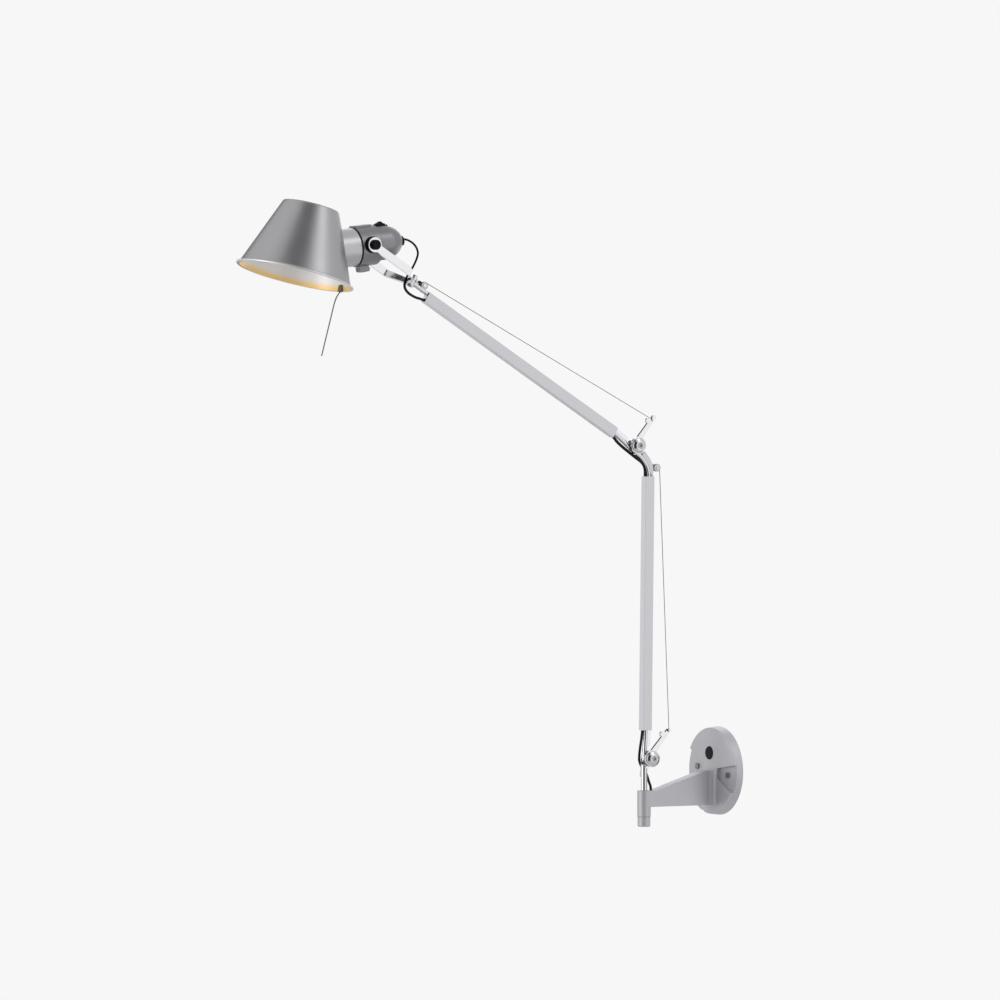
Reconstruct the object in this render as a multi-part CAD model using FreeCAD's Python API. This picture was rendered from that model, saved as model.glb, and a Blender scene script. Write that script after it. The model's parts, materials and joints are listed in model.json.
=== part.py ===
import FreeCAD, Part
import math
import os

# Articulating wall lamp. Millimetres and degrees.
# Origin: centre of the wall plate on the wall. +Z is up, -Y points out of the wall, X runs along it.
# All hinges but the post swivel, the fork swivel and the shade ring turn about X.

V = FreeCAD.Vector
X_AXIS = V(1, 0, 0)
Y_AXIS = V(0, 1, 0)
Z_AXIS = V(0, 0, 1)

# ---------------------------------------------------------------- driving dimensions

# running fits and gaps
turn_fit = 0.05            # radial clearance of a shaft that turns in its hole
seat_gap = 0.05            # clearance of a piece that is fixed in its seat
side_gap = 0.3             # gap between faces that move past each other

# wall plate and bracket arm, one casting
plate_radius = 63.4
plate_face_radius = 61.6
plate_depth = 15.0
plate_wall = 3.0
plate_edge_round = 2.0
arm_half_width = 9.5
arm_flare = 8.0            # concave corner between arm and plate
arm_top_z = 0.0
arm_flat_out = 30.0        # the top runs level as far out as this
arm_slope_out = 111.5      # and slopes down to here
arm_bottom_z = -48.6
boss_radius = 9.8
boss_top_z = -25.4
boss_bottom_z = -62.5
boss_bore_radius = 7.2
cable_hole_radius = 2.8
cable_hole_out = 115.6     # distance of the cable hole from the wall
cable_duct_z = -38.0
hole_plug_radius = 9.5
hole_plug_x = -2.0
hole_plug_z = 25.5
hole_plug_neck_radius = 8.8

# screws that hold the casting on the mounting plate, in open pockets
pocket_depth = 5.0
pocket_floor = 2.5
screw_x = 40.0
screw_z = -5.0
cover_screw_radius = 2.0
cover_screw_head_radius = 4.2
cover_screw_head = 2.6
screw_pillar_radius = 6.0

# mounting plate behind the casting
mount_plate_radius = 54.0
mount_plate_thickness = 2.0
wall_hole_radius = 2.75
wall_hole_spacing = 60.0
wire_hole_radius = 9.0
terminal_length = 26.0
terminal_width = 14.0
terminal_height = 8.0
terminal_drop = 17.0       # centre of the terminal block below the plate centre

# post and swivel
post_out = 127.5           # distance of the post from the wall
post_radius = 4.5
collar_radius = 6.6
collar_height = 2.6
bushing_length = 11.0
post_cap_radius = 9.3
post_cap_bottom_z = -77.0
post_cap_floor = 3.0

# pivots, alike at the foot and at the elbow
base_pivot_y = -119.2
base_pivot_z = 20.0
hub_radius = 8.8
hub_thickness = 6.8
hub_disc_radius = 12.3
hub_disc_thickness = 3.4
cheek_thickness = 3.4
washer_thickness = 0.7
pin_radius = 3.0
lever_thickness = 3.5
cap_radius = 11.0
cap_height = 4.6
pivot_screw_radius = 4.6
pivot_screw_height = 2.2
hex_across = 4.0
pivot_nut_radius = 6.6
pivot_nut_height = 4.4
lap_end = 4.0              # the lapped rods overlap this far past the pivot
lap_room = 13.2            # radius kept clear for the other rod's half
post_lap_room = 15.0       # the same at the post, where the arm leans furthest forward

# levers that the ties pull on
lever_length = 55.0
lever_root_width = 8.6
lever_tip_width = 5.6
base_lever_angle = 41.0    # from the vertical, towards the wall
elbow_lever_angle = 39.5
base_tie_reach = 52.6      # from the pivot to the tie pin
elbow_tie_reach = 47.5
tie_pin_radius = 1.3
tie_nut_radius = 4.2
tie_nut_reach = 40.5
tie_nut_offset = 6.0

# arms
lower_arm_lean = -0.7      # tube axis from the vertical, positive away from the wall
upper_arm_lean = 58.45
tube_depth = 16.0
tube_width = 11.0
tube_wall = 0.9
tube_corner = 1.2
lower_tube_offset = 6.6    # tube axis from the line through its pivot
upper_tube_offset = 3.1
tube_start = 40.5          # from the pivot to the tube mouth
lower_tube_length = 362.0
upper_tube_length = 368.5
rod_radius = 3.4
rod_offset = 0.6           # rod axis from the tube axis, on the tie side
rod_drop = 8.4             # rod axis from the pivot, beside the hub
plug_length = 18.0
plug_gap = 0.15
neck_bend_radius = 38.0
elbow_y = -29.1            # elbow pivot in the lower arm's own frame,
elbow_rise = 44.1          # and its height above the end of the lower tube
tab_thickness = 6.0

# tie pulleys
pulley_flange_radius = 5.5
pulley_groove_radius = 4.6
pulley_half_width = 2.4
pulley_pin_radius = 1.5
pulley_head_radius = 2.3
lower_pulley_offset = 14.2     # from the tube axis
lower_pulley_rise = 12.4       # beyond the tube mouth
upper_pulley_offset = 12.1
upper_pulley_rise = 10.7
ear_thickness = 2.6
tie_radius = 0.5
spring_radius = 2.4
spring_length = 190.0
spring_depth = 45.0            # from the tube mouth to the spring's hook
spring_offset = 3.4            # from the tube axis, on the tie side
tie_slot_length = 20.0         # opening for the tie in the lower tube's mouth
tie_slot_half_width = 1.2

# power cable
cable_radius = 1.9
cable_offset = -5.0            # from the tube axis, away from the tie
head_cable_radius = 1.5
elbow_cable_room = 6.0          # between the cable and the bent rod beside it, axis to axis

# fork at the end of the upper arm, in that arm's own frame
fork_hub_z = 440.3
fork_hub_radius = 6.5
fork_hub_low = -3.3
fork_hub_high = 11.2
neck_rod_offset = 5.4          # head-end rod axis from the tube axis
eye_radius = 5.4
fork_pin_radius = 2.2
fork_bend_z = 463.5
fork_reach_z = 536.0           # tilt axis
fork_axis_y = 4.5
fork_inside = 32.0             # half the clear width between the arms
fork_thickness = 3.5
fork_bar_low = -2.6
fork_bar_high = 8.6
fork_root_high = 4.6           # the bars narrow to this at the hub
fork_eye_radius = 10.6

# lamp head, in its own frame: +Y back towards the wall along the housing axis
head_rise = 6.5                # housing axis above the level
tilt_axis_lift = 1.5           # knob axis above the housing axis
side_boss_radius = 11.6
side_boss_reach = 31.6
knob_radius = 7.4
knob_height = 4.8
knob_shaft_radius = 3.0
drum_front_y = -14.5
drum_back_y = 17.0
drum_radius = 28.4
drum_wall = 2.5
cover_radius = 24.4
cover_lift = 1.0               # cover axis above the drum axis
cover_step_y = 33.0
cover_end_y = 63.0
gland_radius = 6.8
gland_length = 4.0
gland_hole_rise = 3.0
ring_width = 1.8
ring_radius = 25.6
neck_radius = 27.0
neck_wall = 2.5
lug_half_width = 5.5
lug_drop = 36.5
lug_front_y = -11.0
lug_back_y = 4.5
clamp_screw_radius = 3.2
clamp_screw_drop = 33.2

# switch on top of the housing
switch_y = 29.5
switch_half_length = 11.5
switch_half_width = 5.5
switch_base_z = 25.8
rocker_peak_z = 31.0
rocker_peak_y = 3.0            # peak from the middle of the switch
rocker_pin_radius = 1.2

# lampholder and bulb
holder_radius = 16.0
holder_front_y = -58.0
bulb_radius = 22.5
bulb_centre_y = -94.0

# shade, a cone with a flat top
shade_wall_y = -39.0           # the cone's back line stands upright in the head's frame
shade_rim_z = -60.0            # where that line meets the rim
shade_rim_radius = 81.0
shade_top_radius = 39.8
shade_height = 101.6
shade_wall = 1.2
shade_top_round = 3.0
lip_reach = 3.4
lip_height = 4.5
shade_hole_radius = 21.5

# aiming rod under the rim
aim_rod_radius = 0.9
aim_rod_ring = 72.3            # distance from the shade axis
aim_rod_top = -9.5             # below the rim plane
aim_rod_length = 86.0
aim_clip_ring = 77.6
aim_clip_rise = 5.5

# ---------------------------------------------------------------- derived values

post_y = -post_out
lever_near = -washer_thickness - 2 * seat_gap      # the hub of the moving arm starts at X = 0
lever_far = lever_near - lever_thickness
cheek_near = lever_far - seat_gap
cheek_far = cheek_near - cheek_thickness
disc_face = hub_thickness + hub_disc_thickness
hub_clear = hub_radius + 0.6
lower_tube_end = tube_start + lower_tube_length
upper_tube_end = tube_start + upper_tube_length
elbow_z = lower_tube_end + elbow_rise
lower_axis = -lower_tube_offset
upper_axis = -upper_tube_offset
groove_run = pulley_groove_radius + tie_radius + seat_gap
shade_half_angle = math.degrees(math.atan2(shade_rim_radius - shade_top_radius, shade_height))


# ---------------------------------------------------------------- helpers

def box(x0, x1, y0, y1, z0, z1):
    return Part.makeBox(x1 - x0, y1 - y0, z1 - z0, V(x0, y0, z0))


def bar(start, end, radius):
    """Round bar from one point to another."""
    return Part.makeCylinder(radius, (end - start).Length, start, end - start)


def disc(x0, x1, y, z, radius):
    """Round piece whose axis runs along X."""
    return Part.makeCylinder(radius, x1 - x0, V(x0, y, z), X_AXIS)


def turned(profile, place, axis):
    """Solid of revolution from (radius, distance along the axis) pairs."""
    points = [V(r, 0, s) for r, s in profile]
    solid = Part.Face(Part.makePolygon(points + points[:1])).revolve(V(0, 0, 0), Z_AXIS, 360)
    return placed_along(solid, place, axis)


def placed_along(shape, place, axis):
    """Turn a piece made along +Z so that it runs along an axis from a place."""
    moved = shape.copy()
    moved.Placement = FreeCAD.Placement(place, FreeCAD.Rotation(Z_AXIS, axis)).multiply(shape.Placement)
    return moved


def side_plate(points, x0, x1):
    """Flat plate from its (y, z) outline, between two X planes."""
    corners = [V(x0, y, z) for y, z in points]
    return Part.Face(Part.makePolygon(corners + corners[:1])).extrude(V(x1 - x0, 0, 0))


def tapered_bar(y0, z0, half0, y1, z1, half1, x0, x1):
    """Flat bar with two round ends, seen along X."""
    reach = math.hypot(y1 - y0, z1 - z0)
    uy = (y1 - y0) / reach
    uz = (z1 - z0) / reach
    outline = [(y0 - uz * half0, z0 + uy * half0), (y1 - uz * half1, z1 + uy * half1),
               (y1 + uz * half1, z1 - uy * half1), (y0 + uz * half0, z0 - uy * half0)]
    return fused(side_plate(outline, x0, x1), disc(x0, x1, y0, z0, half0), disc(x0, x1, y1, z1, half1))


def fused(first, *others):
    return first.multiFuse(list(others)).removeSplitter()


def minus(first, *others):
    return first.cut(list(others))


def posed(shape, lean, y, z):
    """Stand a piece made about its own pivot at its place, leaning about X."""
    moved = shape.copy()
    moved.Placement = FreeCAD.Placement(V(0, y, z), FreeCAD.Rotation(X_AXIS, lean)).multiply(shape.Placement)
    return moved


def posed_point(y, z, lean, pivot_y, pivot_z):
    a = math.radians(lean)
    return (pivot_y + y * math.cos(a) - z * math.sin(a), pivot_z + y * math.sin(a) + z * math.cos(a))


def route_wire(points, label):
    """Straight runs joined by tangent arcs, each as large as its two runs allow."""
    radii = []
    edges = []
    start = points[0]
    for i in range(1, len(points) - 1):
        corner = points[i]
        room_before = corner.distanceToPoint(points[i - 1]) * (0.9 if i == 1 else 0.48)
        room_after = corner.distanceToPoint(points[i + 1]) * (0.9 if i == len(points) - 2 else 0.48)
        into = (corner - points[i - 1]).normalize()
        out = (points[i + 1] - corner).normalize()
        half = into.getAngle(out) / 2
        cut = min(room_before, room_after)
        radii.append(cut / math.tan(half))
        first = corner - into * cut
        last = corner + out * cut
        bulge = radii[-1] * (1 / math.cos(half) - 1)
        middle = corner + (out - into).normalize() * bulge
        edges.append(Part.LineSegment(start, first).toShape())
        edges.append(Part.Arc(first, middle, last).toShape())
        start = last
    edges.append(Part.LineSegment(start, points[-1]).toShape())
    wire = Part.Wire(edges)
    print(label, "length %.1f, least bend radius %.1f" % (wire.Length, min(radii)))
    return wire


def swept(wire, radius):
    first = wire.OrderedEdges[0]
    start = first.valueAt(first.FirstParameter)
    toward = first.tangentAt(first.FirstParameter)
    ring = Part.Wire(Part.makeCircle(radius, start, toward))
    return wire.makePipeShell([ring], True, False)


def cable(points, label):
    return swept(route_wire(points, label), cable_radius)


# ---------------------------------------------------------------- frames of the moving groups

def on_lower(shape):
    return posed(shape, lower_arm_lean, base_pivot_y, base_pivot_z)


def on_lower_point(y, z):
    return posed_point(y, z, lower_arm_lean, base_pivot_y, base_pivot_z)


elbow_world_y, elbow_world_z = on_lower_point(elbow_y, elbow_z)


def on_upper(shape):
    return posed(shape, upper_arm_lean, elbow_world_y, elbow_world_z)


def on_upper_point(y, z):
    return posed_point(y, z, upper_arm_lean, elbow_world_y, elbow_world_z)


tilt_y, tilt_z = on_upper_point(fork_axis_y, fork_reach_z)
rise = math.radians(head_rise)
head_y = tilt_y + tilt_axis_lift * math.sin(rise)
head_z = tilt_z - tilt_axis_lift * math.cos(rise)


def on_head(shape):
    return posed(shape, head_rise, head_y, head_z)


def on_head_point(y, z):
    return posed_point(y, z, head_rise, head_y, head_z)


# ---------------------------------------------------------------- wall plate and bracket

def pocket_outline(grow):
    """Outline of one screw pocket on the plate's face, open to the rim."""
    return [(18 - grow, 4 + grow), (68, 10.5 + grow), (68, -29 - grow), (52, -30 - grow), (17 - grow, -10)]


def face_prism(outline, y0, y1, turn):
    corners = [V(x, y0, z) for x, z in outline]
    solid = Part.Face(Part.makePolygon(corners + corners[:1])).extrude(V(0, y1 - y0, 0))
    solid.rotate(V(0, 0, 0), Y_AXIS, turn)
    return solid


def wall_bracket():
    face_y = -plate_depth
    plate = Part.makeCone(plate_radius, plate_face_radius, plate_depth, V(0, 0, 0), V(0, -1, 0))
    front = [e for e in plate.Edges if abs(e.BoundBox.YMax - face_y) < 0.01]
    plate = plate.makeFillet(plate_edge_round, front)
    inner_radius = plate_face_radius - plate_wall
    recess = Part.makeCylinder(inner_radius, plate_depth - plate_wall, V(0, 0, 0), V(0, -1, 0))
    solid = minus(plate, recess)
    rim = Part.makeCylinder(plate_radius - 2.2, plate_depth, V(0, 0, 0), V(0, -1, 0))
    floor_y = face_y + pocket_depth
    for turn in (0, 180):
        hull = face_prism(pocket_outline(pocket_floor), floor_y + pocket_floor, face_y + plate_wall, turn)
        solid = solid.fuse(hull.common(rim))
    for side in (1, -1):
        pillar = bar(V(side * screw_x, -mount_plate_thickness - seat_gap, side * screw_z),
                     V(side * screw_x, floor_y, side * screw_z), screw_pillar_radius)
        solid = solid.fuse(pillar)
    solid = solid.fuse(bracket_arm())
    for turn in (0, 180):
        solid = solid.cut(face_prism(pocket_outline(0), floor_y, face_y - 1, turn))
    for side in (1, -1):
        hole = bar(V(side * screw_x, 1, side * screw_z), V(side * screw_x, face_y, side * screw_z),
                   cover_screw_radius + 0.3)
        solid = solid.cut(hole)
    plug_hole = bar(V(hole_plug_x, 0, hole_plug_z), V(hole_plug_x, face_y - 1, hole_plug_z),
                    hole_plug_neck_radius + seat_gap)
    notch = box(-26, -16, face_y - 1, face_y + 3.5, -68, -57)
    duct = bar(V(0, -cable_hole_out, cable_duct_z), V(0, 0, cable_duct_z), cable_hole_radius)
    return minus(solid, plug_hole, notch, duct).removeSplitter()


def bracket_arm():
    """Arm and boss: the plan outline with its flared root, cut to the side outline."""
    root_y = -plate_depth + plate_wall
    flare_y = -plate_depth - arm_flare
    wide = arm_half_width + arm_flare
    diagonal = arm_flare * math.sqrt(0.5)
    right = [V(arm_half_width, post_y, -80), V(arm_half_width, flare_y, -80)]
    edges = [Part.makeLine(V(-arm_half_width, post_y, -80), right[0]), Part.makeLine(*right),
             Part.Arc(right[1], V(wide - diagonal, flare_y + diagonal, -80),
                      V(wide, -plate_depth, -80)).toShape(),
             Part.makeLine(V(wide, -plate_depth, -80), V(wide, root_y, -80)),
             Part.makeLine(V(wide, root_y, -80), V(-wide, root_y, -80)),
             Part.makeLine(V(-wide, root_y, -80), V(-wide, -plate_depth, -80)),
             Part.Arc(V(-wide, -plate_depth, -80), V(diagonal - wide, flare_y + diagonal, -80),
                      V(-arm_half_width, flare_y, -80)).toShape(),
             Part.makeLine(V(-arm_half_width, flare_y, -80), V(-arm_half_width, post_y, -80))]
    plan = Part.Face(Part.Wire(edges)).extrude(V(0, 0, 100))
    side = side_plate([(root_y, arm_top_z), (-arm_flat_out, arm_top_z), (-arm_slope_out, boss_top_z),
                       (post_y, boss_top_z), (post_y, arm_bottom_z), (root_y, arm_bottom_z)], -40, 40)
    boss = Part.makeCylinder(boss_radius, boss_top_z - boss_bottom_z, V(0, post_y, boss_bottom_z))
    bore = Part.makeCylinder(boss_bore_radius, 100, V(0, post_y, -90))
    hole = Part.makeCylinder(cable_hole_radius, -cable_duct_z, V(0, -cable_hole_out, cable_duct_z))
    duct = bar(V(0, -cable_hole_out, cable_duct_z), V(0, 0, cable_duct_z), cable_hole_radius)
    end = Part.makeSphere(cable_hole_radius, V(0, -cable_hole_out, cable_duct_z))
    return minus(fused(plan.common(side), boss), bore, hole, duct, end)


def mounting_plate():
    plate = Part.makeCylinder(mount_plate_radius, mount_plate_thickness, V(0, 0, 0), V(0, -1, 0))
    holes = [bar(V(0, 1, 0), V(0, -5, 0), wire_hole_radius)]
    for side in (1, -1):
        z = side * wall_hole_spacing / 2
        holes.append(bar(V(0, 1, z), V(0, -5, z), wall_hole_radius))
        place = V(side * screw_x, 1, side * screw_z)
        holes.append(bar(place, place + V(0, -5, 0), cover_screw_radius + seat_gap))
    return minus(plate, *holes)


def cover_screws():
    floor_y = -plate_depth + pocket_depth
    screws = []
    for side in (1, -1):
        place = V(side * screw_x, floor_y - seat_gap, side * screw_z)
        head = bar(place, place + V(0, -cover_screw_head, 0), cover_screw_head_radius)
        shank = bar(place, V(place.x, -0.2, place.z), cover_screw_radius)
        slot = box(place.x - 5, place.x + 5, place.y - cover_screw_head - 1, place.y - cover_screw_head + 1.1,
                   place.z - 0.5, place.z + 0.5)
        cross = box(place.x - 0.5, place.x + 0.5, place.y - cover_screw_head - 1,
                    place.y - cover_screw_head + 1.1, place.z - 5, place.z + 5)
        screws.append(minus(fused(head, shank), slot, cross))
    return Part.makeCompound(screws)


def hole_plug():
    face_y = -plate_depth
    head = [(0, 0), (hole_plug_radius, 0), (hole_plug_radius, 0.5), (hole_plug_radius - 0.8, 1.3), (0, 1.3)]
    cap = turned(head, V(hole_plug_x, face_y - seat_gap, hole_plug_z), V(0, -1, 0))
    neck = bar(V(hole_plug_x, face_y - seat_gap, hole_plug_z),
               V(hole_plug_x, face_y + plate_wall, hole_plug_z),
               hole_plug_neck_radius)
    return fused(cap, neck)


def terminal_block():
    y_back = -mount_plate_thickness - seat_gap
    block = box(-terminal_length / 2, terminal_length / 2, y_back - terminal_height, y_back,
                -terminal_drop - terminal_width / 2, -terminal_drop + terminal_width / 2)
    for x in (-9, 0, 9):
        well = bar(V(x, y_back - terminal_height - 1, -terminal_drop), V(x, y_back - 3, -terminal_drop), 1.6)
        block = block.cut(well)
    return block


def bracket_cable():
    """From the terminal block through the duct of the arm to the cable hole."""
    start_y = -mount_plate_thickness - 5
    return bar(V(0, start_y, cable_duct_z), V(0, -cable_hole_out + 2, cable_duct_z), cable_radius)


# ---------------------------------------------------------------- post and its joint

def swivel_bushings():
    sleeves = []
    for top in (boss_top_z - collar_height - 1.6, boss_bottom_z + bushing_length + 0.2):
        outer = Part.makeCylinder(boss_bore_radius - seat_gap, bushing_length,
                                  V(0, post_y, top - bushing_length))
        bore = Part.makeCylinder(post_radius + turn_fit, 60, V(0, post_y, top - 30))
        sleeves.append(outer.cut(bore))
    return Part.makeCompound(sleeves)


def swivel_post():
    """Post with its collar, lapped end and far cheek."""
    bottom = post_cap_bottom_z + post_cap_floor
    rod = Part.makeCylinder(post_radius, base_pivot_z - lap_end - bottom, V(0, post_y, bottom))
    collar_z = boss_top_z - collar_height - 1.5
    collar = Part.makeCylinder(collar_radius, collar_height, V(0, post_y, collar_z))
    cheek = lapped_cheek([(post_y - base_pivot_y - 2.5, -26), (post_y - base_pivot_y + 2.5, -26), (5.5, -6.6),
                          (-3, 3), (post_y - base_pivot_y - 0.6, -8)])
    return lapped_end(fused(rod, collar, at_base(cheek)), base_pivot_y, base_pivot_z, post_lap_room)


def lapped_cheek(outline):
    """Far cheek of a joint, about its pivot, with the arm that ties it to its rod."""
    arm = side_plate(outline, cheek_far, -2.4)
    return fused(arm, disc(cheek_far, cheek_near, 0, 0, hub_radius))


def lapped_end(shape, y, z, room):
    """Clear the near half of a rod about the pivot, the lever's seat and the pin hole."""
    near = disc(lever_near, 20, y, z, room)
    seat = disc(cheek_near, 20, y, z, hub_radius + side_gap)
    return minus(shape, near, seat, disc(-20, 20, y, z, pin_radius + seat_gap))


def post_cap():
    height = boss_bottom_z - side_gap - post_cap_bottom_z
    profile = [(0, 0), (post_cap_radius - 1, 0), (post_cap_radius, 1), (post_cap_radius, height), (0, height)]
    cap = turned(profile, V(0, post_y, post_cap_bottom_z), Z_AXIS)
    bore = Part.makeCylinder(post_radius + seat_gap, 60,
                             V(0, post_y, post_cap_bottom_z + post_cap_floor - seat_gap))
    return cap.cut(bore)


def lever(angle, tie_reach):
    """Lever plate about its pivot: a disc and a tapered arm towards the wall side."""
    a = math.radians(angle)
    tip = lever_length - lever_tip_width / 2
    arm = tapered_bar(0, 0, lever_root_width / 2, tip * math.sin(a), tip * math.cos(a), lever_tip_width / 2,
                      lever_far, lever_near)
    plate = fused(arm, disc(lever_far, lever_near, 0, 0, hub_radius))
    pin_hole = disc(-20, 20, 0, 0, pin_radius + seat_gap)
    tie_hole = disc(-20, 20, tie_reach * math.sin(a), tie_reach * math.cos(a), tie_pin_radius + seat_gap)
    return minus(plate, pin_hole, tie_hole)


def tie_anchor(angle, tie_reach):
    """Pin that holds the tie beside the lever, and the round adjusting nut below it."""
    a = math.radians(angle)
    y = tie_reach * math.sin(a)
    z = tie_reach * math.cos(a)
    pin = fused(disc(lever_far - 0.1, 1.0, y, z, tie_pin_radius), disc(0.9, 1.7, y, z, 2.2),
                disc(lever_far - 0.9, lever_far - seat_gap, y, z, 2.2))
    nut_y = tie_nut_reach * math.sin(a) - tie_nut_offset * math.cos(a)
    nut_z = tie_nut_reach * math.cos(a) + tie_nut_offset * math.sin(a)
    nut = disc(lever_near + seat_gap, lever_near + 4.4, nut_y, nut_z, tie_nut_radius)
    return Part.makeCompound([pin, nut])


def pivot_cap():
    """Domed disc over the hub, with a seat for the screw head."""
    outer = [(cap_radius, 0), (cap_radius, 1.0), (cap_radius - 1.2, 2.4),
             (pivot_screw_radius + 2.2, cap_height - 0.4), (pivot_screw_radius + 0.6, cap_height),
             (pivot_screw_radius + seat_gap, cap_height),
             (pivot_screw_radius + seat_gap, cap_height - pivot_screw_height),
             (pin_radius + seat_gap, cap_height - pivot_screw_height), (pin_radius + seat_gap, 0)]
    return turned(outer, V(disc_face + seat_gap, 0, 0), X_AXIS)


def pivot_screw():
    """Pivot pin with a hexagon socket in its head."""
    head_x = disc_face + 2 * seat_gap + cap_height - pivot_screw_height
    pin = fused(disc(cheek_far - pivot_nut_height + 1, head_x + 0.5, 0, 0, pin_radius),
                disc(head_x, head_x + pivot_screw_height, 0, 0, pivot_screw_radius))
    points = [V(head_x + 0.6, hex_across / math.sqrt(3) * math.cos(math.radians(60 * i)),
                hex_across / math.sqrt(3) * math.sin(math.radians(60 * i))) for i in range(7)]
    return pin.cut(Part.Face(Part.makePolygon(points)).extrude(V(5, 0, 0)))


def pivot_nut():
    profile = [(0, 0), (pivot_nut_radius, 0), (pivot_nut_radius, pivot_nut_height - 1.2),
               (pivot_nut_radius - 1.2, pivot_nut_height), (0, pivot_nut_height)]
    nut = turned(profile, V(cheek_far - seat_gap, 0, 0), V(-1, 0, 0))
    return nut.cut(disc(cheek_far - pivot_nut_height + 1 - seat_gap, 0, 0, 0, pin_radius + seat_gap))


def friction_washer():
    return disc(lever_near + seat_gap, -seat_gap, 0, 0, hub_radius - 0.3).cut(
        disc(-20, 20, 0, 0, pin_radius + seat_gap))


def at_base(shape):
    return posed(shape, 0, base_pivot_y, base_pivot_z)


def at_elbow(shape):
    return posed(shape, 0, elbow_world_y, elbow_world_z)


# ---------------------------------------------------------------- arms

def arm_tube(length, slot_length):
    """Rectangular tube on its own axis, from z = 0, with an opening for the tie at its upper end."""
    half_w = tube_width / 2
    half_d = tube_depth / 2
    outer = box(-half_w, half_w, -half_d, half_d, 0, length)
    corners = [e for e in outer.Edges if abs(e.BoundBox.ZLength - length) < 0.01]
    outer = outer.makeFillet(tube_corner, corners)
    hollow = box(tube_wall - half_w, half_w - tube_wall, tube_wall - half_d, half_d - tube_wall, -1,
                 length + 1)
    slot = box(-tie_slot_half_width, tie_slot_half_width, half_d - 3, half_d + 1, length - slot_length,
               length + 1)
    return minus(outer, hollow, slot)


def tube_plug(axis, z0, z1):
    """Block inside a tube mouth, with room for the cable on one side and the tie on the other."""
    half_w = tube_width / 2 - tube_wall - plug_gap
    low = cable_offset + cable_radius + plug_gap
    high = spring_offset - 1.4
    return box(-half_w, half_w, axis + low, axis + high, z0, z1)


def arm_foot(axis):
    """Lower end of an arm: plug, slanted rod, side tab and near hub with its wide disc."""
    rod = bar(V(0, -rod_drop, -lap_end), V(0, axis + rod_offset, tube_start + 1), rod_radius)
    tab = side_plate([(axis, 16), (axis + 5.5, 18), (axis + 6.6, 24), (axis + 6.6, tube_start + 6),
                      (axis, tube_start + 6)], -tab_thickness / 2, tab_thickness / 2)
    hub = disc(0, hub_thickness, 0, 0, hub_radius)
    wide = disc(hub_thickness, disc_face, 0, 0, hub_disc_radius)
    room = box(-20, 0, -20, 20, -20, hub_clear)
    spine = side_plate([(-rod_drop - rod_radius, -lap_end), (0, -hub_radius), (0, hub_radius + 3),
                        (-rod_drop, hub_radius + 3)], 0, rod_radius)
    whole = fused(rod.common(box(-20, 20, -20, 20, -lap_end, tube_start + 20)), tab, hub, wide,
                  spine.common(disc(0, 20, 0, 0, hub_disc_radius)),
                  tube_plug(axis, tube_start + 0.2, tube_start + plug_length))
    y = axis + cable_offset
    groove = bar(V(0, y, tube_start - 5), V(0, y, tube_start + plug_length + 1), cable_radius + plug_gap)
    return minus(whole, room, groove, disc(-20, 20, 0, 0, pin_radius + turn_fit))


def neck_bend(radius, start_y, end_offset):
    """Tangent arc from the lower arm's line to the upper arm's: three points and the last direction."""
    a = math.radians(upper_arm_lean - lower_arm_lean)
    centre_y = start_y - radius
    centre_z = elbow_z + (end_offset - radius - math.cos(a) * (centre_y - elbow_y)) / math.sin(a)
    points = [V(0, centre_y + radius * math.cos(t), centre_z + radius * math.sin(t)) for t in (0, a / 2, a)]
    return points, V(0, -math.sin(a), math.cos(a))


def neck_path():
    """Bent rod from the lower tube's end: up along the tube, then over towards the elbow."""
    points, away = neck_bend(neck_bend_radius, lower_axis + rod_offset, -rod_drop)
    last = points[2] + away * ((V(0, elbow_y, elbow_z) - points[2]).dot(away) - lap_end)
    edges = [Part.makeLine(points[0] - V(0, 0, 4), points[0]), Part.Arc(*points).toShape(),
             Part.makeLine(points[2], last)]
    return Part.Wire(edges)


def elbow_neck():
    """Upper end of the lower arm: plug, bent rod with its lapped end, and far cheek at the elbow."""
    rod = swept(neck_path(), rod_radius)
    turn = upper_arm_lean - lower_arm_lean
    cheek = lapped_cheek([(-rod_drop - 2.2, -18), (-rod_drop + 3, -22), (5.5, -6.6), (-3, 3),
                          (-rod_drop - 2.2, -5)])
    plug = tube_plug(lower_axis, lower_tube_end - plug_length, lower_tube_end - 0.2)
    return lapped_end(fused(rod, posed(cheek, turn, elbow_y, elbow_z), plug), elbow_y, elbow_z, lap_room)


def pulley_ear(y, z, root):
    """Ear behind a pulley with the stub axle that the pulley turns on."""
    back = -pulley_half_width - side_gap
    ear = tapered_bar(root[0], root[1], 4.0, y, z, 3.4, back - ear_thickness, back)
    axle = disc(back - 0.5, pulley_half_width + side_gap + 0.1, y, z, pulley_pin_radius)
    head = disc(pulley_half_width + side_gap, pulley_half_width + side_gap + 0.9, y, z, pulley_head_radius)
    return fused(ear, axle, head)


def neck_web():
    """Flat web beside the bent rod, with the ear of the lower pulley."""
    z = lower_tube_end
    y = lower_axis
    outline = [(y + 4.8, z + 0.3), (y + 6.9, z + 0.3), (y + 7.2, z + 8), (y + 6.6, z + 15), (y + 1.6, z + 25),
               (y - 8.0, z + 36.5), (y - 12.0, z + 30)]
    plate = side_plate(outline, -tab_thickness / 2, tab_thickness / 2)
    ear = pulley_ear(y + lower_pulley_offset, z + lower_pulley_rise, (y + 6.0, z + 15.2))
    room = disc(-20, 20, elbow_y, elbow_z, lap_room)
    cheek_room = disc(-20, seat_gap - 2.4, elbow_y, elbow_z, 30)
    return minus(fused(plate, ear), swept(neck_path(), rod_radius + seat_gap), room, cheek_room)


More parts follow.
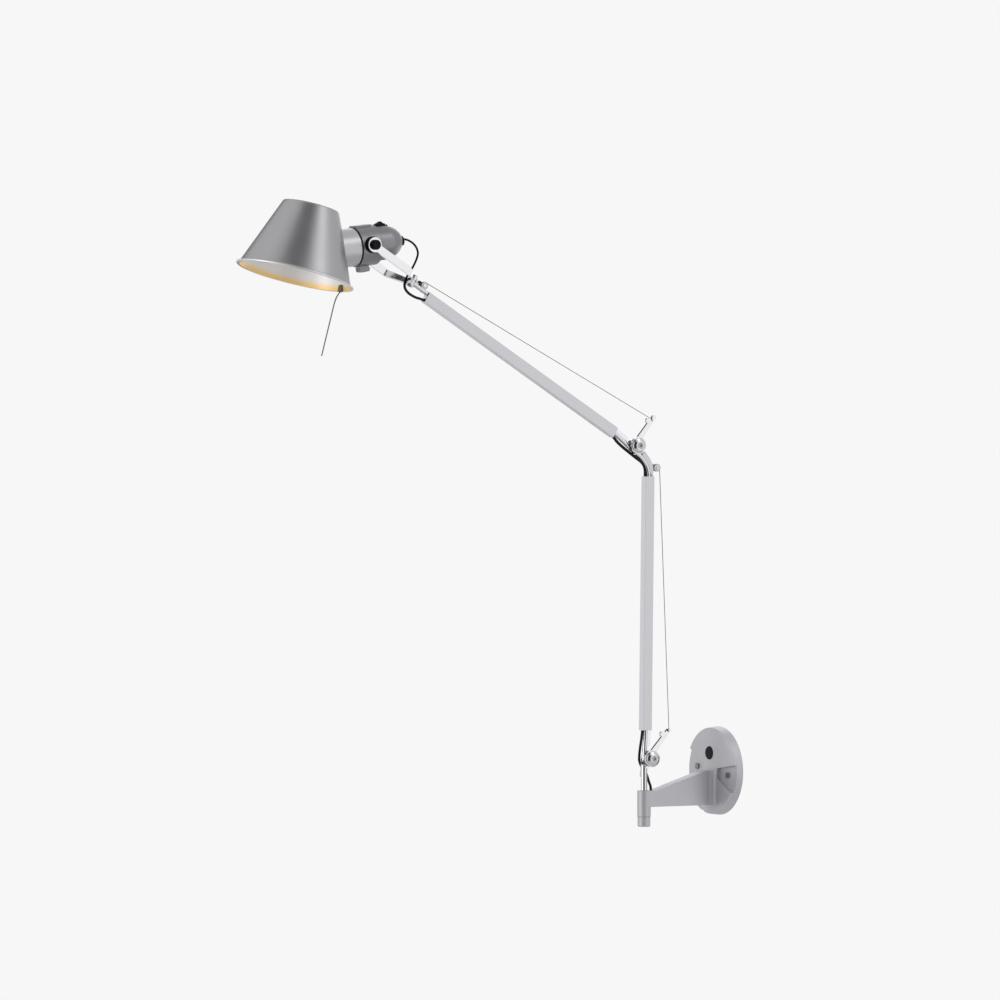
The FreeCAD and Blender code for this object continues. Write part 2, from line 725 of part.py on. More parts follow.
def head_neck():
    """Head end of the upper arm: plug, rod, flat eye for the fork and the ear of the upper pulley."""
    z = upper_tube_end
    y = upper_axis + neck_rod_offset
    wheel_y = upper_axis + upper_pulley_offset
    wheel_z = z + upper_pulley_rise
    rod = bar(V(0, y, z + 0.3), V(0, y, fork_hub_z), rod_radius)
    eye = bar(V(0, y - rod_radius, fork_hub_z), V(0, y + rod_radius, fork_hub_z), eye_radius)
    root = box(-3, 3, upper_axis, upper_axis + 6.6, z - plug_length, z + 0.5)
    ear = pulley_ear(wheel_y, wheel_z, (y + 1.5, z + 8.0))
    back = -pulley_half_width - side_gap
    guard = side_plate([(y, z + 6), (wheel_y, z + 12), (wheel_y + 0.2, z + 20), (y, z + 23)],
                       back - ear_thickness, back)
    whole = fused(rod, eye, root, ear, guard, tube_plug(upper_axis, z - plug_length, z + 0.5))
    room = pulley_half_width + side_gap
    wheel_slot = disc(-room, room, wheel_y, wheel_z, pulley_flange_radius + side_gap)
    axle = disc(-room - 0.1, room, wheel_y, wheel_z, pulley_pin_radius)
    tie_slot = box(-1.0, 1.0, upper_axis + spring_offset, 20, z - plug_length - 1, wheel_z)
    pin_hole = bar(V(0, -30, fork_hub_z), V(0, 30, fork_hub_z), fork_pin_radius + turn_fit)
    return fused(minus(whole, wheel_slot, tie_slot, pin_hole), axle)


def neck_bumper():
    """Small rubber stop on the outer edge of the neck's ear."""
    y = upper_axis + upper_pulley_offset + seat_gap
    back = -pulley_half_width - side_gap - ear_thickness
    return box(back, back + 5.6, y + 0.2, y + 2.4, upper_tube_end + 16.4, upper_tube_end + 19.9)


def pulley():
    flange = pulley_half_width
    profile = [(pulley_pin_radius + turn_fit, -flange), (pulley_flange_radius, -flange),
               (pulley_flange_radius, 0.6 - flange), (pulley_groove_radius, -tie_radius),
               (pulley_groove_radius, tie_radius), (pulley_flange_radius, flange - 0.6),
               (pulley_flange_radius, flange), (pulley_pin_radius + turn_fit, flange)]
    return turned(profile, V(0, 0, 0), X_AXIS)


def touch_point(point_y, point_z, centre_y, centre_z, radius, side):
    """Where a line from a point touches a circle, on the chosen side."""
    dy = centre_y - point_y
    dz = centre_z - point_z
    reach = math.hypot(dy, dz)
    angle = math.atan2(dz, dy) + side * math.asin(radius / reach)
    run = math.sqrt(reach * reach - radius * radius)
    return (point_y + run * math.cos(angle), point_z + run * math.sin(angle))


def tie(pin, pulley_centre, end):
    """Thin steel tie from its pin on the lever, round its pulley and back down the tube to the spring."""
    cy, cz = pulley_centre
    first = touch_point(pin[0], pin[1], cy, cz, groove_run, -1)
    eye = disc(-0.7, 0.7, pin[0], pin[1], 2.3)
    run = math.hypot(first[0] - pin[0], first[1] - pin[1])
    start = (pin[0] + (first[0] - pin[0]) * 2.0 / run, pin[1] + (first[1] - pin[1]) * 2.0 / run)
    last = touch_point(end[0], end[1], cy, cz, groove_run, 1)
    a0 = math.atan2(first[1] - cz, first[0] - cy)
    a1 = math.atan2(last[1] - cz, last[0] - cy)
    if a1 < a0:
        a1 += 2 * math.pi
    middle = (a0 + a1) / 2
    top = V(0, cy + groove_run * math.cos(middle), cz + groove_run * math.sin(middle))
    p = [V(0, y, z) for y, z in (start, first, last, end)]
    wire = Part.Wire([Part.makeLine(p[0], p[1]), Part.Arc(p[1], top, p[2]).toShape(), Part.makeLine(p[2],
                                                                                                    p[3])])
    print("tie length %.1f" % wire.Length)
    hole = disc(-5, 5, pin[0], pin[1], tie_pin_radius + seat_gap)
    return minus(fused(swept(wire, tie_radius), eye), hole)


def spring(axis, tube_end):
    """Extension spring inside a tube, as its outer shape."""
    top = tube_end - spring_depth
    y = axis + spring_offset
    return bar(V(0, y, top - spring_length), V(0, y, top), spring_radius)


def tube_cable(axis, z0, z1):
    y = axis + cable_offset
    return bar(V(0, y, z0), V(0, y, z1), cable_radius)


# ---------------------------------------------------------------- fork

def fork():
    """Flat-bar fork: two arms that lean out from a slotted hub and run straight to the tilt axis."""
    inner = fork_inside
    outer = fork_inside + fork_thickness
    hub = bar(V(0, fork_hub_low, fork_hub_z), V(0, fork_hub_high, fork_hub_z), fork_hub_radius)
    arms = []
    for side in (1, -1):
        outline = [(2.9, fork_hub_z + 1), (5.6, fork_hub_z + 2.4), (outer - 2.0, fork_bend_z - 2.6),
                   (outer, fork_bend_z), (outer, fork_reach_z), (inner, fork_reach_z), (inner,
                                                                                        fork_bend_z + 2.0),
                   (7.0, fork_hub_z + 11.0), (2.9, fork_hub_z + 7.6)]
        corners = [V(side * x, fork_bar_low, z) for x, z in outline]
        arm = Part.Face(Part.makePolygon(corners + corners[:1])).extrude(V(0,
                                                                           fork_bar_high - fork_bar_low, 0))
        eye = disc(min(side * inner, side * outer), max(side * inner, side * outer), fork_axis_y,
                   fork_reach_z,
                   fork_eye_radius)
        arms += [arm, eye]
    taper = side_plate([(fork_root_high, fork_hub_z - 9), (fork_root_high, fork_hub_z + 9),
                        (fork_bar_high, fork_bend_z + 12), (40, fork_bend_z + 12), (40, fork_hub_z - 9)],
                        -60, 60)
    arms = [arm.cut(taper) for arm in arms]
    whole = fused(hub, *arms)
    y = upper_axis + neck_rod_offset
    low = y - rod_radius - side_gap
    high = y + rod_radius + side_gap
    slot = bar(V(0, low, fork_hub_z), V(0, high, fork_hub_z), eye_radius + side_gap)
    gate = box(-20, 20, low, high, fork_hub_z - 20, fork_hub_z + 0.5)
    pin = bar(V(0, -30, fork_hub_z), V(0, 30, fork_hub_z), fork_pin_radius + seat_gap)
    knob_holes = disc(-50, 50, fork_axis_y, fork_reach_z, knob_shaft_radius + turn_fit)
    return minus(whole, slot, gate, pin, knob_holes)


def fork_pin():
    low = fork_hub_low - 1.2
    pin = bar(V(0, low, fork_hub_z), V(0, fork_hub_high + 1, fork_hub_z), fork_pin_radius)
    head = bar(V(0, fork_hub_high + seat_gap, fork_hub_z), V(0, fork_hub_high + 1.8, fork_hub_z), 4.4)
    nut = bar(V(0, low, fork_hub_z), V(0, fork_hub_low - seat_gap, fork_hub_z), 3.2)
    return fused(pin, head, nut)


# ---------------------------------------------------------------- lamp head

def lamp_housing():
    """Front drum of the housing with its clamp lug."""
    length = drum_back_y - drum_front_y
    drum = bar(V(0, drum_front_y, 0), V(0, drum_back_y, 0), drum_radius)
    lug = side_plate([(lug_front_y, -20), (lug_front_y, 2 - lug_drop), (lug_front_y + 2, -lug_drop),
                      (lug_back_y - 5, -lug_drop), (lug_back_y, 4 - lug_drop), (lug_back_y, -20)],
                     -lug_half_width, lug_half_width)
    pad = box(-9, 9, drum_front_y + 2, drum_back_y - 5, 20, drum_radius + 0.8)
    hollow = bar(V(0, drum_front_y + drum_wall, 0), V(0, drum_front_y + length + 1, 0),
                 drum_radius - drum_wall)
    mouth = bar(V(0, drum_front_y - 1, 0), V(0, drum_front_y + drum_wall + 1, 0), holder_radius + 2)
    screw_hole = bar(V(0, lug_front_y - 1, -clamp_screw_drop), V(0, lug_back_y + 1, -clamp_screw_drop), 1.6)
    return minus(fused(drum, lug, pad), hollow, mouth, screw_hole, knob_bores(), switch_room())


def knob_bores():
    return disc(-60, 60, 0, tilt_axis_lift, knob_shaft_radius + turn_fit)


def switch_room():
    return box(-switch_half_width - seat_gap, switch_half_width + seat_gap,
               switch_y - switch_half_length - seat_gap,
               switch_y + switch_half_length + seat_gap, 8, 60)


def cover_shape(shrink):
    """Back cover: a short drum that closes in a half ellipsoid."""
    radius = cover_radius - shrink
    end = cover_end_y - shrink
    start = drum_back_y + seat_gap
    curve = Part.Ellipse(V(0, 0, end), V(radius, 0, cover_step_y), V(0, 0, cover_step_y))
    edges = [Part.makeLine(V(0, 0, start), V(radius, 0, start)),
             Part.makeLine(V(radius, 0, start), V(radius, 0, cover_step_y)),
             Part.ArcOfEllipse(curve, 0, math.pi / 2).toShape(),
             Part.makeLine(V(0, 0, end), V(0, 0, start))]
    face = Part.Face(Part.Wire(Part.sortEdges(edges)[0]))
    return placed_along(face.revolve(V(0, 0, 0), Z_AXIS, 360), V(0, 0, cover_lift), Y_AXIS)


def back_cover():
    shell = cover_shape(0).cut(cover_shape(drum_wall))
    hole = bar(V(0, 40, 0), V(0, 80, 0), gland_radius - 1.2 + seat_gap)
    opening = bar(V(0, drum_back_y - 1, cover_lift), V(0, drum_back_y + 3, cover_lift),
                  cover_radius - drum_wall)
    return minus(shell, hole, opening, switch_room())


def cable_gland():
    stem = bar(V(0, cover_end_y - 8, 0), V(0, cover_end_y - 1, 0), gland_radius - 1.2)
    flange = bar(V(0, cover_end_y - 1.2, 0), V(0, cover_end_y - 1.2 + gland_length, 0), gland_radius)
    shell = cover_shape(-seat_gap).cut(bar(V(0, 40, 0), V(0, 80, 0), gland_radius - 1.2))
    cable_hole = bar(V(0, 40, gland_hole_rise), V(0, 80, gland_hole_rise), head_cable_radius + seat_gap)
    return minus(fused(stem, flange), shell, cable_hole)


def side_bosses():
    """Dark friction pads between the housing and the fork arms."""
    body = fused(bar(V(0, drum_front_y, 0), V(0, drum_back_y, 0), drum_radius + seat_gap),
                 cover_shape(-seat_gap))
    pads = []
    for side in (1, -1):
        x0 = min(side * 20, side * side_boss_reach)
        x1 = max(side * 20, side * side_boss_reach)
        pad = disc(x0, x1, 0, tilt_axis_lift, side_boss_radius)
        pads.append(minus(pad, body, knob_bores()))
    return Part.makeCompound(pads)


def knob(side):
    """Clamp knob with its threaded shaft."""
    inner = side_boss_reach + side_gap + fork_thickness + 2 * side_gap
    face = V(side * inner, 0, tilt_axis_lift)
    profile = [(0, 0), (knob_radius, 0), (knob_radius, knob_height - 1.5),
               (knob_radius - 1.2, knob_height - 0.3),
               (knob_radius - 2.4, knob_height), (0, knob_height)]
    head = turned(profile, face, V(side, 0, 0))
    shaft = bar(V(side * 22, 0, tilt_axis_lift), V(side * (inner + 1), 0, tilt_axis_lift), knob_shaft_radius)
    return fused(head, shaft)


def clamp_screw():
    z = -clamp_screw_drop
    head = bar(V(0, lug_back_y + seat_gap, z), V(0, lug_back_y + 2.6, z), clamp_screw_radius)
    shank = bar(V(0, lug_front_y + 0.5, z), V(0, lug_back_y + 1, z), 1.5)
    return fused(head, shank)


def switch_body():
    """Switch frame let into the top of the housing."""
    outer = box(-switch_half_width, switch_half_width, switch_y - switch_half_length,
                switch_y + switch_half_length,
                12, switch_base_z)
    well = box(1.4 - switch_half_width, switch_half_width - 1.4, switch_y - switch_half_length + 1.4,
               switch_y + switch_half_length - 1.4, 20, 60)
    pin_hole = disc(-20, 20, switch_y, switch_base_z - 1.6, rocker_pin_radius + turn_fit)
    return minus(outer, well, pin_hole)


def switch_rocker():
    """Two-winged rocker on its cross pin."""
    half = switch_half_length - 1.4 - side_gap
    y = switch_y
    peak = y + rocker_peak_y
    outline = [(y - half, switch_base_z + 0.4), (peak - 2.6, rocker_peak_z - 1.2), (peak, rocker_peak_z),
               (peak + 2.4, rocker_peak_z - 2.6), (y + half - 0.6, switch_base_z + 1.4),
               (y + half - 1.6, switch_base_z - 1.2), (y + 3, switch_base_z - 3.6),
               (y - 3, switch_base_z - 3.6), (y - half + 2.0, switch_base_z - 2.0)]
    wide = switch_half_width - 1.4 - side_gap
    rocker = side_plate(outline, -wide, wide)
    pin = disc(side_gap - switch_half_width, switch_half_width - side_gap, y, switch_base_z - 1.6,
               rocker_pin_radius)
    return fused(rocker, pin)


def lampholder():
    front = holder_front_y
    back = drum_front_y + drum_wall + 8
    body = bar(V(0, front, 0), V(0, back, 0), holder_radius)
    cup = bar(V(0, front - 1, 0), V(0, front + 22, 0), holder_radius - 2.2)
    flange = bar(V(0, drum_front_y + drum_wall + seat_gap, 0), V(0, back, 0), holder_radius + 6)
    return minus(fused(body, flange), cup)


def light_bulb():
    """Globe bulb with its screw cap in the holder."""
    cap = bar(V(0, holder_front_y + 19, 0), V(0, holder_front_y - 3, 0), holder_radius - 2.7)
    globe = Part.makeSphere(bulb_radius, V(0, bulb_centre_y, 0))
    taper = Part.makeCone(holder_radius - 2.7, bulb_radius - 4.5, 16.5, V(0, holder_front_y - 3, 0),
                          V(0, -1, 0))
    return fused(cap, globe, taper)


def shade_frame(shape):
    """Stand a piece made about the shade's axis (rim at z = 0) in the head's frame."""
    a = math.radians(shade_half_angle)
    y = shade_wall_y - shade_rim_radius * math.cos(a)
    z = shade_rim_z + shade_rim_radius * math.sin(a)
    return posed(shape, -shade_half_angle, y, z)


def shade_solid(grow):
    profile = [(0, -20), (shade_rim_radius + grow + 20 * math.tan(math.radians(shade_half_angle)), -20),
               (shade_top_radius + grow, shade_height + grow), (0, shade_height + grow)]
    return turned(profile, V(0, 0, 0), Z_AXIS)


def shade():
    """Spun cone with a rounded top edge and a turned-out lip."""
    slope = (shade_rim_radius - shade_top_radius) / shade_height
    t = shade_wall
    r_lip = shade_rim_radius - slope * lip_height
    top_in = shade_height - t
    profile = [(r_lip, lip_height),
               (shade_top_radius + slope * shade_top_round, shade_height - shade_top_round),
               (shade_top_radius - 0.3, shade_height - 0.9), (shade_top_radius - shade_top_round,
                                                              shade_height),
               (0, shade_height), (0, top_in), (shade_top_radius - shade_top_round, top_in),
               (shade_top_radius + slope * shade_top_round - t, shade_height - shade_top_round),
               (r_lip - t, lip_height),
               (shade_rim_radius - t, 0), (shade_rim_radius + lip_reach, 0),
               (shade_rim_radius + lip_reach, t)]
    cone = turned(profile, V(0, 0, 0), Z_AXIS)
    hole = bar(V(0, shade_wall_y - 30, 0), V(0, shade_wall_y + 30, 0), shade_hole_radius)
    return shade_frame(cone).cut(hole)


def shade_neck():
    """Short neck between the shade wall and the housing, saddle-cut to the cone."""
    back = drum_front_y - ring_width
    tube = bar(V(0, shade_wall_y - 16, 0), V(0, back, 0), neck_radius)
    bore = bar(V(0, shade_wall_y - 20, 0), V(0, back + 1, 0), neck_radius - neck_wall)
    return minus(tube, bore, shade_frame(shade_solid(seat_gap)))


def spin_ring():
    """Dark friction ring in the groove between neck and housing."""
    outer = bar(V(0, drum_front_y - ring_width + seat_gap, 0), V(0, drum_front_y - seat_gap, 0),
                ring_radius - 1.0)
    return outer.cut(bar(V(0, -60, 0), V(0, 60, 0), holder_radius + 3))


def aiming_rod():
    """Steel rod that hangs from a clip inside the rim, used to aim the hot shade."""
    r = aim_rod_ring
    points = [V(0, aim_clip_ring - 2.0, aim_clip_rise), V(0, aim_clip_ring, aim_clip_rise - 6),
              V(0, r + 1.5, aim_rod_top + 1), V(0, r, aim_rod_top - 8), V(0, r - 0.3,
                                                                          aim_rod_top - aim_rod_length)]
    rod = swept(route_wire(points, "aiming rod"), aim_rod_radius)
    slope = (shade_rim_radius - shade_top_radius) / shade_height
    low = shade_rim_radius - shade_wall - 4 * seat_gap
    high = low - slope * (aim_clip_rise + 2.4)
    clip = side_plate([(low, 0), (high, aim_clip_rise + 2.4), (high - 2.0, aim_clip_rise + 2.4),
                       (low - 5.0, -1.5),
                       (low - 1.0, -1.8)], -3.5, 3.5)
    return fused(rod, clip)


# ---------------------------------------------------------------- cables across the joints

cable_meet = (-10.6, -121.4, 4.0)    # where the two parts of the base cable meet


def world(points):
    return [V(x, y, z) for x, y, z in points]


def base_cable_upper():
    """From the lower tube down in front of the joint and round the far side of the post."""
    y0, z0 = on_lower_point(lower_axis + cable_offset, tube_start + 3)
    y1, z1 = on_lower_point(lower_axis + cable_offset, tube_start - 3.5)
    return cable(world([(0, y0, z0), (0, y1, z1), (-3.0, -133.8, 27.5), (-11.1, -128.6, 12.3), cable_meet]),
                 "base cable, upper part")


def base_cable_lower():
    """From behind the post into the hole of the bracket arm."""
    y = -cable_hole_out
    return cable(world([(-10.6, -121.35, 3.9), (-10.3, -116.6, -1.6), (-5.8, y - 0.4, -13), (0, y, -20.5),
                        (0, y, -31)]), "base cable, lower part")


def elbow_route():
    """Jumper on the hollow side of the elbow, from tube mouth to tube mouth."""
    line = lower_axis + cable_offset
    points, away = neck_bend(neck_bend_radius - elbow_cable_room, line, -rod_drop - elbow_cable_room)
    world_points = [on_lower(Part.Vertex(p)).Point for p in points]
    toward = on_lower(Part.Vertex(away)).Point - on_lower(Part.Vertex(V(0, 0, 0))).Point
    start = V(0, *on_lower_point(line, lower_tube_end - 3))
    mouth = V(0, *on_upper_point(upper_axis + cable_offset, tube_start - 3))
    end = V(0, *on_upper_point(upper_axis + cable_offset, tube_start + 3))
    bend = world_points[2] + toward * 4
    edges = [Part.LineSegment(start, world_points[0]).toShape(), Part.Arc(*world_points).toShape(),
             Part.LineSegment(world_points[2], bend).toShape()]
    rest = route_wire([bend, bend + toward * 9, mouth, end], "elbow cable, upper end")
    print("elbow cable bend radius %.1f" % edges[1].Curve.Radius)
    return Part.Wire(edges + rest.Edges)


def fork_route():
    """From the crotch of the fork round its hub and into the upper tube."""
    y = upper_axis + cable_offset
    local = [(7.0, 449.6), (-6.0, 449.6), (-13.0, 428.0), (y, upper_tube_end + 7), (y, upper_tube_end - 3)]
    points = [V(0, *on_upper_point(y, z)) for y, z in local]
    return route_wire(points, "fork cable")


def head_route():
    """Loop from the gland of the back cover down into the crotch of the fork."""
    start = V(0, *on_head_point(cover_end_y - 4, gland_hole_rise))
    leave = V(0, *on_head_point(cover_end_y + 9, gland_hole_rise))
    local = [(50.6, 459.0), (37.6, 447.0), (7.3, 449.6)]
    points = [start, leave] + [V(0, *on_upper_point(y, z)) for y, z in local]
    return route_wire(points, "head cable")


# ---------------------------------------------------------------- assembly

def build():
    lower_mouth = (lower_axis + lower_pulley_offset, lower_tube_end + lower_pulley_rise)
    upper_mouth = (upper_axis + upper_pulley_offset, upper_tube_end + upper_pulley_rise)
    lower_hook = on_lower_point(lower_axis + spring_offset, lower_tube_end - spring_depth)
    upper_hook = on_upper_point(upper_axis + spring_offset, upper_tube_end - spring_depth)
    base_pin = (base_pivot_y + base_tie_reach * math.sin(math.radians(base_lever_angle)),
                base_pivot_z + base_tie_reach * math.cos(math.radians(base_lever_angle)))
    elbow_pin = (elbow_world_y + elbow_tie_reach * math.sin(math.radians(elbow_lever_angle)),
                 elbow_world_z + elbow_tie_reach * math.cos(math.radians(elbow_lever_angle)))
    head_wire = head_route()
    fork_wire = fork_route()
    elbow_wire = elbow_route()
    nodes = {
        "wall_bracket": wall_bracket(),
        "mounting_plate": mounting_plate(),
        "cover_screws": cover_screws(),
        "hole_plug": hole_plug(),
        "terminal_block": terminal_block(),
        "bracket_cable": bracket_cable(),
        "swivel_bushings": swivel_bushings(),
        "swivel_post": swivel_post(),
        "post_cap": post_cap(),
        "base_lever": at_base(lever(base_lever_angle, base_tie_reach)),
        "base_tie_anchor": at_base(tie_anchor(base_lever_angle, base_tie_reach)),
        "base_pivot_cap": at_base(pivot_cap()),
        "base_pivot_screw": at_base(pivot_screw()),
        "base_pivot_nut": at_base(pivot_nut()),
        "base_friction_washer": at_base(friction_washer()),
        "base_cable_lower": base_cable_lower(),
        "base_cable_upper": base_cable_upper(),
        "lower_tube": on_lower(posed(arm_tube(lower_tube_length, tie_slot_length), 0, lower_axis,
                                     tube_start)),
        "lower_arm_foot": on_lower(arm_foot(lower_axis)),
        "elbow_neck": on_lower(elbow_neck()),
        "elbow_web": on_lower(neck_web()),
        "lower_pulley": on_lower(posed(pulley(), 0, *lower_mouth)),
        "lower_tie": tie(base_pin, on_lower_point(*lower_mouth), lower_hook),
        "lower_spring": on_lower(spring(lower_axis, lower_tube_end)),
        "lower_tube_cable": on_lower(tube_cable(lower_axis, tube_start + 3.05, lower_tube_end - 3.05)),
        "elbow_lever": at_elbow(lever(elbow_lever_angle, elbow_tie_reach)),
        "elbow_tie_anchor": at_elbow(tie_anchor(elbow_lever_angle, elbow_tie_reach)),
        "elbow_pivot_cap": at_elbow(pivot_cap()),
        "elbow_pivot_screw": at_elbow(pivot_screw()),
        "elbow_pivot_nut": at_elbow(pivot_nut()),
        "elbow_friction_washer": at_elbow(friction_washer()),
        "elbow_cable": swept(elbow_wire, cable_radius),
        "upper_tube": on_upper(posed(arm_tube(upper_tube_length, 0), 0, upper_axis, tube_start)),
        "upper_arm_foot": on_upper(arm_foot(upper_axis)).cut(swept(elbow_wire, cable_radius + plug_gap)),
        "head_neck": on_upper(head_neck()),
        "neck_bumper": on_upper(neck_bumper()),
        "upper_pulley": on_upper(posed(pulley(), 0, *upper_mouth)),
        "upper_tie": tie(elbow_pin, on_upper_point(*upper_mouth), upper_hook),
        "upper_spring": on_upper(spring(upper_axis, upper_tube_end)),
        "upper_tube_cable": on_upper(tube_cable(upper_axis, tube_start + 3.05, upper_tube_end - 3.05)),
        "fork_cable": swept(fork_wire, cable_radius),
        "fork": on_upper(fork()).cut(swept(fork_wire, cable_radius + side_gap)),
        "fork_pin": on_upper(fork_pin()),
        "head_cable": swept(head_wire, head_cable_radius),
        "lamp_housing": on_head(lamp_housing()),
        "back_cover": on_head(back_cover()),
        "cable_gland": on_head(cable_gland()).cut(swept(head_wire, head_cable_radius + seat_gap)),
        "side_bosses": on_head(side_bosses()),
        "clamp_screw": on_head(clamp_screw()),
        "switch_body": on_head(switch_body()),
        "switch_rocker": on_head(switch_rocker()),
        "near_knob": on_head(knob(1)),
        "far_knob": on_head(knob(-1)),
        "lampholder": on_head(lampholder()),
        "light_bulb": on_head(light_bulb()),
        "spin_ring": on_head(spin_ring()),
        "shade_neck": on_head(shade_neck()),
        "shade": on_head(shade()),
        "aiming_rod": on_head(shade_frame(aiming_rod())),
    }
    return nodes


def main():
    os.makedirs("parts", exist_ok=True)
    for name, shape in build().items():
        shape.exportStep("parts/" + name + ".step")
        print("%-24s solids %d volume %10.1f valid %s" % (name, len(shape.Solids), shape.Volume,
                                                          shape.isValid()))
    print("base pivot (%.3f, %.3f)" % (base_pivot_y, base_pivot_z))
    print("elbow pivot (%.3f, %.3f)" % (elbow_world_y, elbow_world_z))
    print("tilt axis (%.3f, %.3f)" % (tilt_y, tilt_z))
    print("head origin (%.3f, %.3f)" % (head_y, head_z))


main()
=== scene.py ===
import json
import math

import bpy
from bpy.props import FloatProperty, FloatVectorProperty, IntProperty, PointerProperty
from mathutils import Matrix, Vector


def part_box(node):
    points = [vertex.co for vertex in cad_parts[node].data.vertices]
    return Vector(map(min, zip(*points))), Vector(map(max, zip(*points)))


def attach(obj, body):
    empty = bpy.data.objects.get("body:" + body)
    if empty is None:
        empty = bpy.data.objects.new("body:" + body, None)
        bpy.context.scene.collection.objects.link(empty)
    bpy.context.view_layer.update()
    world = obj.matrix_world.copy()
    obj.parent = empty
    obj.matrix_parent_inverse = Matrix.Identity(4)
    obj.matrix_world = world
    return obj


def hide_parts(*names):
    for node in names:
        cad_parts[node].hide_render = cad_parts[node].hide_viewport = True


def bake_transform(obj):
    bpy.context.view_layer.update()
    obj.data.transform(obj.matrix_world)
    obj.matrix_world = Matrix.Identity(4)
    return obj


bl_info = {
    "name": "Articulating wall lamp",
    "version": (1, 0, 0),
    "blender": (4, 5, 0),
    "location": "3D View > Sidebar > Wall lamp",
    "description": "Finishes and fine pieces of a spring balanced wall lamp, built round its packed model",
    "category": "Object",
}

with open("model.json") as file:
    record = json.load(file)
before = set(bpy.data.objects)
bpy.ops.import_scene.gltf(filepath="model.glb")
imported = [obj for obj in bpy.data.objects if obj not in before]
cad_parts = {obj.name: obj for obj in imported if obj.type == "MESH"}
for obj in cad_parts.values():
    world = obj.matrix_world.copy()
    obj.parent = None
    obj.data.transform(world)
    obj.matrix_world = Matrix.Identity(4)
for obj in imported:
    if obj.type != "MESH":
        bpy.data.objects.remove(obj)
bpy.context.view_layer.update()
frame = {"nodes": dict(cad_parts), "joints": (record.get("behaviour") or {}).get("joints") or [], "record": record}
NODES = frame["nodes"]
JOINTS = {joint["name"]: joint for joint in frame["joints"]}
MM = 0.001

# ---------------------------------------------------------------- colours


def linear(hex_colour):
    """sRGB hex to linear RGB."""
    values = []
    for i in (0, 2, 4):
        c = int(hex_colour[i:i + 2], 16) / 255
        values.append(c / 12.92 if c <= 0.04045 else ((c + 0.055) / 1.055) ** 2.4)
    return tuple(values)


def colour_property(name, description, hex_colour):
    return FloatVectorProperty(name=name, description=description, subtype="COLOR", size=3, min=0.0, max=1.0,
                               default=linear(hex_colour))


def length_property(name, description, millimetres):
    return FloatProperty(name=name, description=description, default=millimetres * MM, min=0.0, unit="LENGTH",
                         precision=5)


# ---------------------------------------------------------------- settings


class LampFinishes(bpy.types.PropertyGroup):
    """Colours of the lamp's finishes."""
    shade_lacquer: colour_property("Shade lacquer", "Metallic silver lacquer of the spun shade", "A3A3A6")
    # Painted highlight: the rolled rim is lighter than the shade so that it shows the bright line of light along
    # its lip.
    rim_lacquer_painted_highlight: colour_property("Rim lacquer", "Brighter silver lacquer of the rolled rim", "D2D2D5")
    # The neck is lighter than the shade. This is partly its own tone and partly a painted highlight for the bright
    # sheen across its middle.
    neck_lacquer_part_painted_highlight: colour_property("Neck lacquer", "Silver lacquer of the neck under the shade", "B4B4B8")
    head_lacquer: colour_property("Head lacquer", "Darker silver lacquer of the lamp head", "828286")
    # Painted warm reflection: the golden colour inside the shade at its rim stands in for warm light mirrored
    # there. The coat itself is the pale colour further up.
    shade_inside_painted_glow: colour_property("Shade inside", "Warm satin coat inside the shade at its rim", "F2C877")
    casting_lacquer: colour_property("Casting lacquer", "Silver lacquer of the plate and its arm", "B6B6BB")
    tube_anodise: colour_property("Tube anodising", "Pale anodised aluminium of the arm tubes", "D0D0D5")
    chrome: colour_property("Chrome", "Bright chromed steel rods and levers", "C8C8CB")
    zinc: colour_property("Zinc", "Zinc plated screws and the aiming rod", "9C9A96")
    black_plastic: colour_property("Black plastic", "Moulded black plastic of knobs and plugs", "0C0C0D")
    cable_black: colour_property("Cable", "Black PVC sheath", "070708")
    acetal: colour_property("Acetal", "White acetal of pulleys and washers", "DCDCD8")
    tie_steel: colour_property("Tie wire", "Bare steel wire of the ties", "6F7073")
    rod_steel: colour_property("Aiming rod", "Burnished steel wire of the aiming rod", "82786F")
    shade_deep: colour_property("Shade inside, deep", "Pale satin coat further up inside the shade", "E4E2E0")
    bulb_glass: colour_property("Bulb glass", "Opal glass of the bulb", "F6F1E4")
    porcelain: colour_property("Porcelain", "Glazed lampholder", "E8E5DC")


class LampSizes(bpy.types.PropertyGroup):
    """Sizes of the pieces modelled here."""
    cable_diameter: length_property("Cable", "Diameter of the cable between the arms", 3.8)
    elbow_cable_diameter: length_property("Elbow cable", "Diameter of the cable at the elbow", 4.4)
    head_cable_diameter: length_property("Head cable", "Diameter of the cable at the head", 3.0)
    tie_diameter: length_property("Tie", "Diameter of the steel ties", 1.0)
    shade_wall: length_property("Shade wall", "Thickness of the spun shade", 1.1)
    turned_steps: IntProperty(name="Turned steps", description="Facets round a turned piece", default=128,
                              min=24, max=256)


class StudioSettings(bpy.types.PropertyGroup):
    """Light, floor and camera."""
    backdrop: colour_property("Backdrop", "Colour behind the lamp", "F7F7F7")
    floor: colour_property("Floor", "Plain pale floor", "E9E9E9")
    side_power: FloatProperty(name="Side lamp", default=15.0, min=0.0, unit="POWER",
                              description="Power of the left soft lamp; the others take a share of it")
    fill_level: FloatProperty(name="Fill", description="Level of the even light all round", default=0.75,
                              min=0.0, max=2.0)
    card_tone: colour_property("Card", "Dark cards that the bright metal mirrors as its dark edges", "3A3A3C")
    camera_distance: FloatProperty(name="Camera distance", description="From the wall plate along the view",
                                   default=14.0, min=1.0, unit="LENGTH")


# ---------------------------------------------------------------- the photograph's view

CAMERA_TURN = math.radians(58.0)       # round from the front, towards +X
CAMERA_LIFT = math.radians(1.2)
PIXEL = 1.433 * MM                     # what one pixel covers at the wall plate
ORIGIN_PIXEL = (718.8, 770.4)          # where the frame's origin falls in the picture
IMAGE_SIZE = 1000

